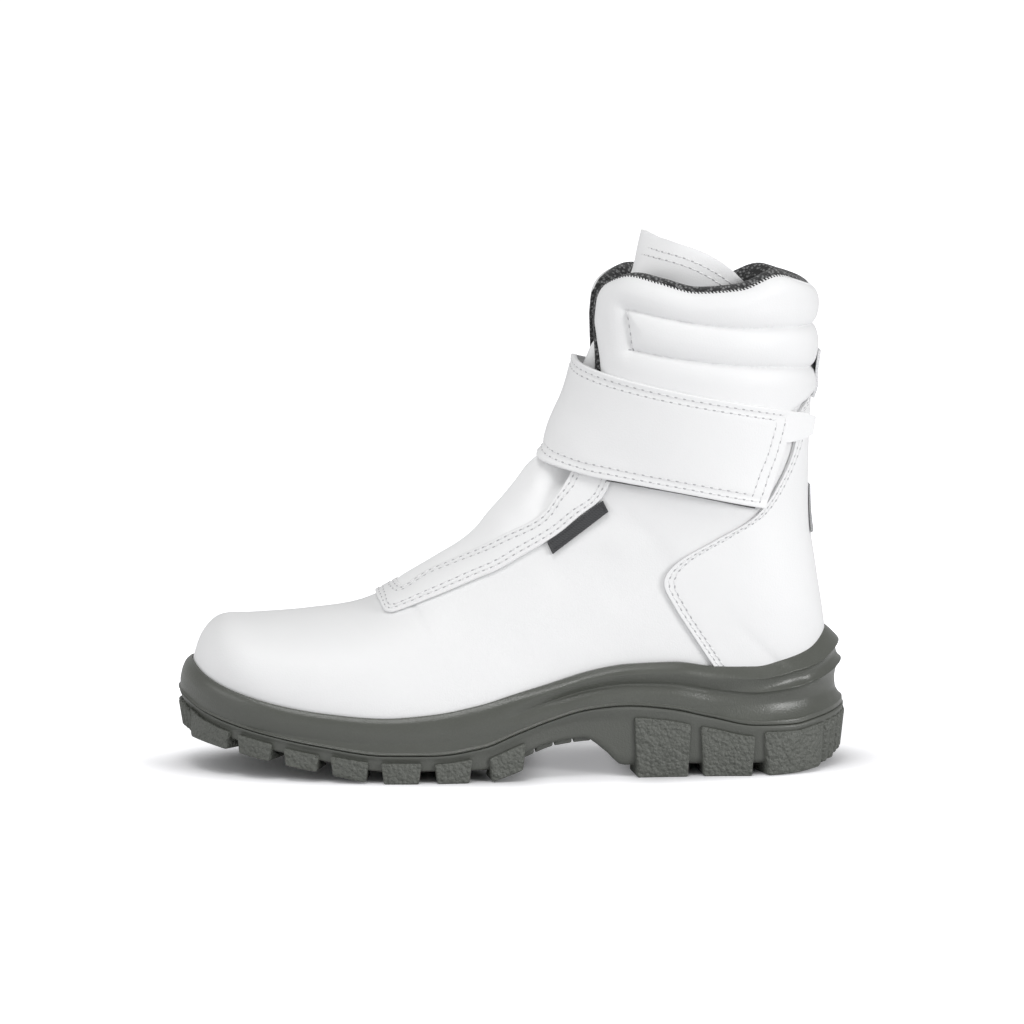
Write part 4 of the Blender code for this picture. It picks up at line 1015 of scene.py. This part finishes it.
def toMiddle(ring, shares):  # rings from an edge in to the line between both sides
    middle = 0.5 * (ring + np.roll(ring[::-1], 1, axis=0))
    return [ring + (middle - ring) * share for share in shares]


def ringMesh(rings):
    rings = np.asarray(rings)
    count, steps = rings.shape[:2]

    def place(s, t):
        return rings[np.rint(s * (count - 1)).astype(int), np.rint(t * steps).astype(int) % steps]

    bm = gridMesh((count - 1, steps), place)
    weldMesh(bm)
    bmesh.ops.dissolve_degenerate(bm, edges=bm.edges, dist=0.005 * millimetre)
    bmesh.ops.recalc_face_normals(bm, faces=bm.faces)
    return bm


def betweenHeights(low, high, level):
    return soleHeight(low, soleXs) + level * (soleHeight(high, soleXs) - soleHeight(low, soleXs))


def midsoleRings():
    gap, inside = soleForm["gap"], soleEdge - soleForm["cupWall"] - soleForm["gap"]
    cup = soleRing(soleHeight("cup", soleXs) + gap, inside)
    rings = toMiddle(cup, (1.0, 0.5)) + [cup, soleRing(soleHeight("parting", soleXs) + gap, inside)]
    for level in sorted({*np.linspace(0.0, 1.0, soleForm["wallSteps"]), *soleForm["levels"]}):
        rings.append(soleRing(betweenHeights("parting", "rand", level) + gap * (1.0 - level),
                              wallOut(soleAngles, level)))
    low = floorHeight(soleXs) - soleForm["trayGap"]
    for level, out in soleForm["tray"]:
        rings.append(soleRing(low + level * (soleHeight("rand", soleXs) - low), np.full_like(soleXs, out)))
    return rings + toMiddle(rings[-1], (0.5, 1.0))


addPiece("midsoleShell", ringMesh(midsoleRings()), "midsole", "midsole")
print("midsole made")


def outsoleRings():
    levels = np.linspace(0.0, 1.0, soleForm["sideSteps"])
    outs = np.interp(levels, *np.array(soleForm["outsoleSide"]).T)
    side = [soleRing(betweenHeights("base", "parting", level), soleEdge + out) for level, out in zip(levels, outs)]
    rim, cup = (soleRing(soleHeight(column, soleXs), soleEdge - soleForm["cupWall"]) for column in ("parting", "cup"))
    return toMiddle(side[0], (1.0, 0.75, 0.5, 0.25)) + side + [rim, cup] + toMiddle(cup, (0.5, 1.0))


def roundedBlock(length, depth, height, loops):  # a bevelled block, cut along its length
    block = bmesh.new()
    bmesh.ops.create_cube(block, size=1.0)
    bmesh.ops.scale(block, vec=(length, depth, height), verts=block.verts)
    bmesh.ops.bevel(block, geom=block.edges[:], offset=min(lugForm["bevel"], 0.2 * height), segments=2, profile=0.5,
                    affect="EDGES", material=-1)
    for k in range(1, loops):
        bmesh.ops.bisect_plane(block, geom=block.verts[:] + block.edges[:] + block.faces[:], plane_no=(1, 0, 0),
                               plane_co=(length * (k / loops - 0.5), 0, 0), dist=0.001)
    return block


outsoleMesh = ringMesh(outsoleRings())


def joinBlock(block, points):  # moves a block into place on the outsole
    moveTo(block.verts, points)
    block.normal_update()
    bmesh.ops.recalc_face_normals(block, faces=block.faces)
    mesh = meshFrom("block", block)
    outsoleMesh.from_mesh(mesh)
    bpy.data.meshes.remove(mesh)


def addLug(first, last, drop, reach, lift=0.0, further=0.0):  # between two angles round the sole
    ends = solePoint(np.array((first, last)), *lugForm["gauge"])
    length = float(np.linalg.norm(ends[1] - ends[0]))
    middleX = soleX(0.5 * (first + last))
    height = float(soleHeight("parting", middleX) - drop - soleHeight("tread", middleX)) - lift
    block = roundedBlock(length, reach, height, max(4, int(length / lugForm["loopPitch"])))
    u, w, v = (spot / size + 0.5 for spot, size in zip(spots(block.verts), (length, reach, height)))
    u = 0.5 + (u - 0.5) * (1.0 - 2.0 * lugForm["draft"] / length * (1.0 - v))
    angle = first + (last - first) * u
    x = soleX(angle)
    tread, top = soleHeight("tread", x) + lift, soleHeight("parting", x) - drop
    z = tread + (top - tread) * v
    (toe, heel), over = lugForm["grooved"], lugForm["groovedOver"]
    grooved = np.maximum(ease(-x, -toe, over - toe), ease(x, heel, over + heel))
    ripple = np.abs(np.sin(math.pi * u * length / lugForm["groovePitch"])) ** lugForm["grooveShape"]
    proud = lugForm["proud"] + (lugForm["topProud"] - lugForm["proud"]) * v + further * np.sin(math.pi * v)
    proud = proud - grooved * (lugForm["grooveDeep"] * (1.0 - ripple) + lugForm["undercut"] * (1.0 - v) ** 2)
    wall, *span = lugForm["foot"]
    inner = -reach + (reach - wall) * ease(v, *span)
    points = solePoint(angle, z, wallOut(angle, 0.0) + inner + (proud - inner) * w)
    for face in block.faces:
        face.material_index = 1
    joinBlock(block, points)


for start, end, drop, reach in lugForm["rows"]:
    for side in (lateral, medial):
        addLug(-side * soleAngle(start), -side * soleAngle(end), drop, reach)
for about, x, *sizes in lugForm["ends"]:
    half = abs(soleAngle(x) - about)
    addLug(about - half, about + half, *sizes)
ribs = lugForm["archRibs"]
for x in np.arange(ribs["from"], ribs["to"], ribs["pitch"]):
    block = roundedBlock(ribs["length"], ribs["width"], ribs["hang"] + ribs["bury"], 4)
    run, across, up = spots(block.verts)
    angles = soleAngle(x + run)
    middle = 0.5 * sum(solePoint(side * angles, ribs["gaugeZ"], 0.0)[:, 1] for side in (medial, lateral))
    z = soleHeight("base", x + run) + up + 0.5 * (ribs["bury"] - ribs["hang"])
    joinBlock(block, np.stack((x + run, middle + across, z), axis=-1))
for x, y, length, width in lugForm["blocks"]:
    height = float(soleHeight("base", x) - soleHeight("tread", x)) + lugForm["bury"]
    block = roundedBlock(length, width, height, 4)
    run, across, up = spots(block.verts)
    level = up / height + 0.5
    narrow = lugForm["taper"] + (1.0 - lugForm["taper"]) * level
    tread, base = (soleHeight(column, x + run * narrow) for column in ("tread", "base"))
    z = tread + level * (base + lugForm["bury"] - tread)
    joinBlock(block, np.stack((x + run * narrow, y + across * narrow, z), axis=-1))
addPiece("treadSole", outsoleMesh, "outsole lugs", "outsole")
print("outsole made")

# Insole: the felt-topped footbed inside
insoleForm = {"thickness": 4.0, "edge": ((0.0, -2.8), (0.35, -1.7), (0.85, -1.6), (1.0, -2.4))}
insoleRings = [soleRing(floorHeight(soleXs) + insoleForm["thickness"] * level,
                        np.full_like(soleXs, out - upperForm["wall"])) for level, out in insoleForm["edge"]]
insoleRings = toMiddle(insoleRings[0], (1.0, 0.5)) + insoleRings + toMiddle(insoleRings[-1], (0.33, 0.67, 1.0))
addPiece("footbed", ringMesh(insoleRings), "insole", "insole")

# Counter: the stitched panel round the heel
counterForm = {
    "rows": (  # front x, front z, height at the back, sag
        (93.5, 49.0, 57.0, 2.6), (83.5, 64.0, 73.0, 1.8), (74.0, 78.5, 83.0, 1.3), (69.2, 89.5, 92.0, 1.0),
        (76.0, 98.6, 101.0, 1.0), (94.0, 109.0, 112.0, 1.0), (110.5, 119.0, 125.0, 1.0),
        (121.5, 134.0, 143.0, 1.0), (128.0, 149.0, 158.0, 1.0), (128.5, 163.0, 173.2, 1.3)),
    "gap": 0.5, "thickness": 1.5, "soft": 0.45, "grid": (150, 90), "randGap": -2.5, "footTo": 0.55,
    "stitches": (2.2, 4.6), "sink": 0.3, "sinkWide": 1.7, "topPitch": 24.0,
}


def counterShare(s):
    return np.sin(0.5 * math.pi * (1.0 - np.abs(2.0 * s - 1.0)))


def counterPlace(s, t, out):
    s, t = np.broadcast_arrays(s, t)
    front, frontZ, backZ, sag = rowsAt(counterForm["rows"], t)
    firstX, firstZ, firstBack, firstSag = counterForm["rows"][0]

    def lift(share):  # its foot follows the rand
        footX = firstX + (backX(firstBack) - firstX) * share
        rand = soleHeight("rand", soleUnder(footX)) + counterForm["randGap"]
        return (rand - firstZ - (firstBack - firstZ) * share ** firstSag) * (1.0 - ease(t, 0.0, counterForm["footTo"]))

    share = counterShare(s)
    z = frontZ + (backZ - frontZ) * share ** sag + lift(share)
    back = backX(backZ + lift(np.ones_like(share)))
    x = np.minimum(front + (back - front) * share, backX(z))
    out = out + counterForm["gap"] - sunk(counterForm, (back - front) * share)
    return sideSkin(x, z, np.where(s <= 0.5, lateral, medial), out)


sheetPiece("heelCounter", counterForm, counterPlace, "panel", "counter")
rise, across = np.linspace(0.02, 0.99, 300), np.linspace(0.03, 0.97, 120)
fronts, _, backs, _ = rowsAt(counterForm["rows"], rise)
for away in counterForm["stitches"]:
    share = np.arcsin(np.clip(away / (backX(backs) - fronts), 0.0, 1.0)) / math.pi
    for run in (share, 1.0 - share):
        sew(counterPlace, run, rise, counterForm["thickness"])
    level = 1.0 - away / counterForm["topPitch"] / (len(counterForm["rows"]) - 1)
    sew(counterPlace, across, np.full_like(across, level), counterForm["thickness"])

# Side label: a bare dark tape
labelForm = {
    "corners": ((17.0, 105.8), (42.1, 125.0), (44.4, 120.2), (19.3, 100.8)), "size": (31.6, 5.4),
    "gap": 0.5, "thickness": 1.2, "soft": 0.3, "grid": (120, 26), "rim": 0.4, "rimSpan": (0.55, 0.85),
}


def labelPlace(s, t, out):
    length, width = labelForm["size"]
    edge = np.minimum(np.minimum(s, 1.0 - s) * length, np.minimum(t, 1.0 - t) * width)
    out = out - labelForm["rim"] * ease(edge, *labelForm["rimSpan"])
    first, second, third, fourth = (np.array(corner) for corner in labelForm["corners"])
    s, t = s[..., None], t[..., None]
    spot = (first + (second - first) * s) * (1.0 - t) + (fourth + (third - fourth) * s) * t
    return sideSkin(spot[..., 0], spot[..., 1], lateral, labelForm["gap"] + out)


sheetPiece("sideLabel", labelForm, labelPlace, "label", "side_label")
print("counter, label and insole made")

# Rows of thread on the tongue, then all the thread as two joined pieces
tongueRun = np.linspace(0.04, 0.96, 200)
for away in tongueForm["stitches"]:
    sew(tonguePlace, np.full_like(tongueRun, 1.0 - away / tongueForm["run"]), tongueRun, tongueForm["thickness"])
addPiece("stitches", stitchMesh, "thread")
addPiece("needleHoleShade", holeShadeMesh, "paintedHoleShade")
print("thread made")

# Studio: pale floor with painted light, painted shadow round the boot and a painted patch of light under the arch,
# bright surround, one soft key from the camera's right
studio = {
    "floorSize": 6.0, "floorColour": (0.88, 0.88, 0.895), "surround": 0.52, "backdrop": 1.1,
    "footprint": (0.155, 0.056, 1.0), "paintedFloorLightColour": (0.98, 0.98, 1.0),
    "paintedFloorLightAndShadow": ((0.85, 1.25, 0.0, 0.54), (1.2, 6.0, 0.0, 0.6)),  # in footprints: from, to, painted floor light at each; none under the boot, as painted shadow
    "archX": 0.030, "paintedArchLightSpan": (0.012, 0.034, 0.30, 0.0), "paintedArchLightReach": (0.9, 1.3, 1.0, 0.0),  # from, to, painted light at each: a painted patch of light on the floor under the arch
    "lights": (  # place, size, watts
        ((1.75, -1.55, 0.75), 0.8, 24.0), ((-2.05, -0.85, 0.9), 1.6, 9.0), ((-0.28, -0.8, 2.1), 0.8, 10.5)),
    "target": (-0.00001, 0.00108, 0.11608), "azimuth": -3.0, "elevation": 8.0, "distance": 2.2, "lens": 168.5,
}
floorMesh = bmesh.new()
bmesh.ops.create_grid(floorMesh, x_segments=1, y_segments=1, size=0.5 * studio["floorSize"])
floor = addObject("floor", meshFrom("floor", floorMesh))
floorFinish, floorShader, floorWire, floorSpot = newFinish(
    "floorWithPaintedLightAndShadow", 0.85, {"Base Color": (*studio["floorColour"], 1.0), "Emission Strength": 1.0})


def fade(value, near, far, low, high):  # a soft step between two levels of painted floor light
    return floorWire.node("ShaderNodeMapRange", {"interpolation_type": "SMOOTHSTEP"},
                          {"Value": value, "From Min": near, "From Max": far, "To Min": low, "To Max": high})


# Painted floor light: none within the boot's footprint, as painted shadow, and white further out
reach = floorWire.node("ShaderNodeVectorMath", {"operation": "DIVIDE"}, {0: floorSpot, 1: studio["footprint"]})
reach = floorWire.node("ShaderNodeVectorMath", {"operation": "LENGTH"}, {0: reach}, "Value")
paintedFloorLightAndShadow = sum(fade(reach, *step) for step in studio["paintedFloorLightAndShadow"])
# a painted patch of light on the floor under the arch, within the footprint
fromPaintedArchLight = floorWire.node("ShaderNodeSeparateXYZ", {}, {"Vector": floorSpot}, "X") - studio["archX"]
fromPaintedArchLight = floorWire.maths("ABSOLUTE", fromPaintedArchLight, 0.0)
paintedFloorLightAndShadow = paintedFloorLightAndShadow + fade(fromPaintedArchLight, *studio["paintedArchLightSpan"]) * fade(reach, *studio["paintedArchLightReach"])
# the painted floor light shows to the camera only and lights nothing
paintedFloorLightAndShadow = paintedFloorLightAndShadow * floorWire.node("ShaderNodeLightPath", {}, {}, "Is Camera Ray")
floorWire.feed(floorShader.inputs["Emission Color"], tint(floorWire, paintedFloorLightAndShadow, (0.0, 0.0, 0.0), studio["paintedFloorLightColour"]))
floor.data.materials.append(floorFinish)

world = bpy.data.worlds.new("studio")
world.use_nodes = True
sky = Wire(world.node_tree)
skySlots = world.node_tree.nodes["Background"].inputs
seen = sky.node("ShaderNodeLightPath", {}, {}, "Is Camera Ray")
sky.feed(skySlots["Color"], (1.0, 1.0, 1.0, 1.0))
sky.feed(skySlots["Strength"], seen * (studio["backdrop"] - studio["surround"]) + studio["surround"])
bpy.context.scene.world = world
bpy.context.scene.view_settings.view_transform = "Standard"
target = Vector(studio["target"])


def aim(piece, spot):  # from a place towards the boot
    piece.location = spot
    piece.rotation_euler = (target - Vector(spot)).to_track_quat("-Z", "Y").to_euler()


for number, (spot, size, watts) in enumerate(studio["lights"]):
    lamp = bpy.data.lights.new(f"soft{number}", "AREA")
    lamp.energy = watts
    lamp.size = size
    aim(addObject(f"soft{number}", lamp), spot)

swing, tilt = math.radians(studio["azimuth"]), math.radians(studio["elevation"])
lens = bpy.data.cameras.new("camera")
lens.lens = studio["lens"]
camera = addObject("camera", lens)
aim(camera, target + studio["distance"] * Vector(
    (math.sin(swing) * math.cos(tilt), -math.cos(swing) * math.cos(tilt), math.sin(tilt))))
bpy.context.scene.camera = camera
print("studio made")
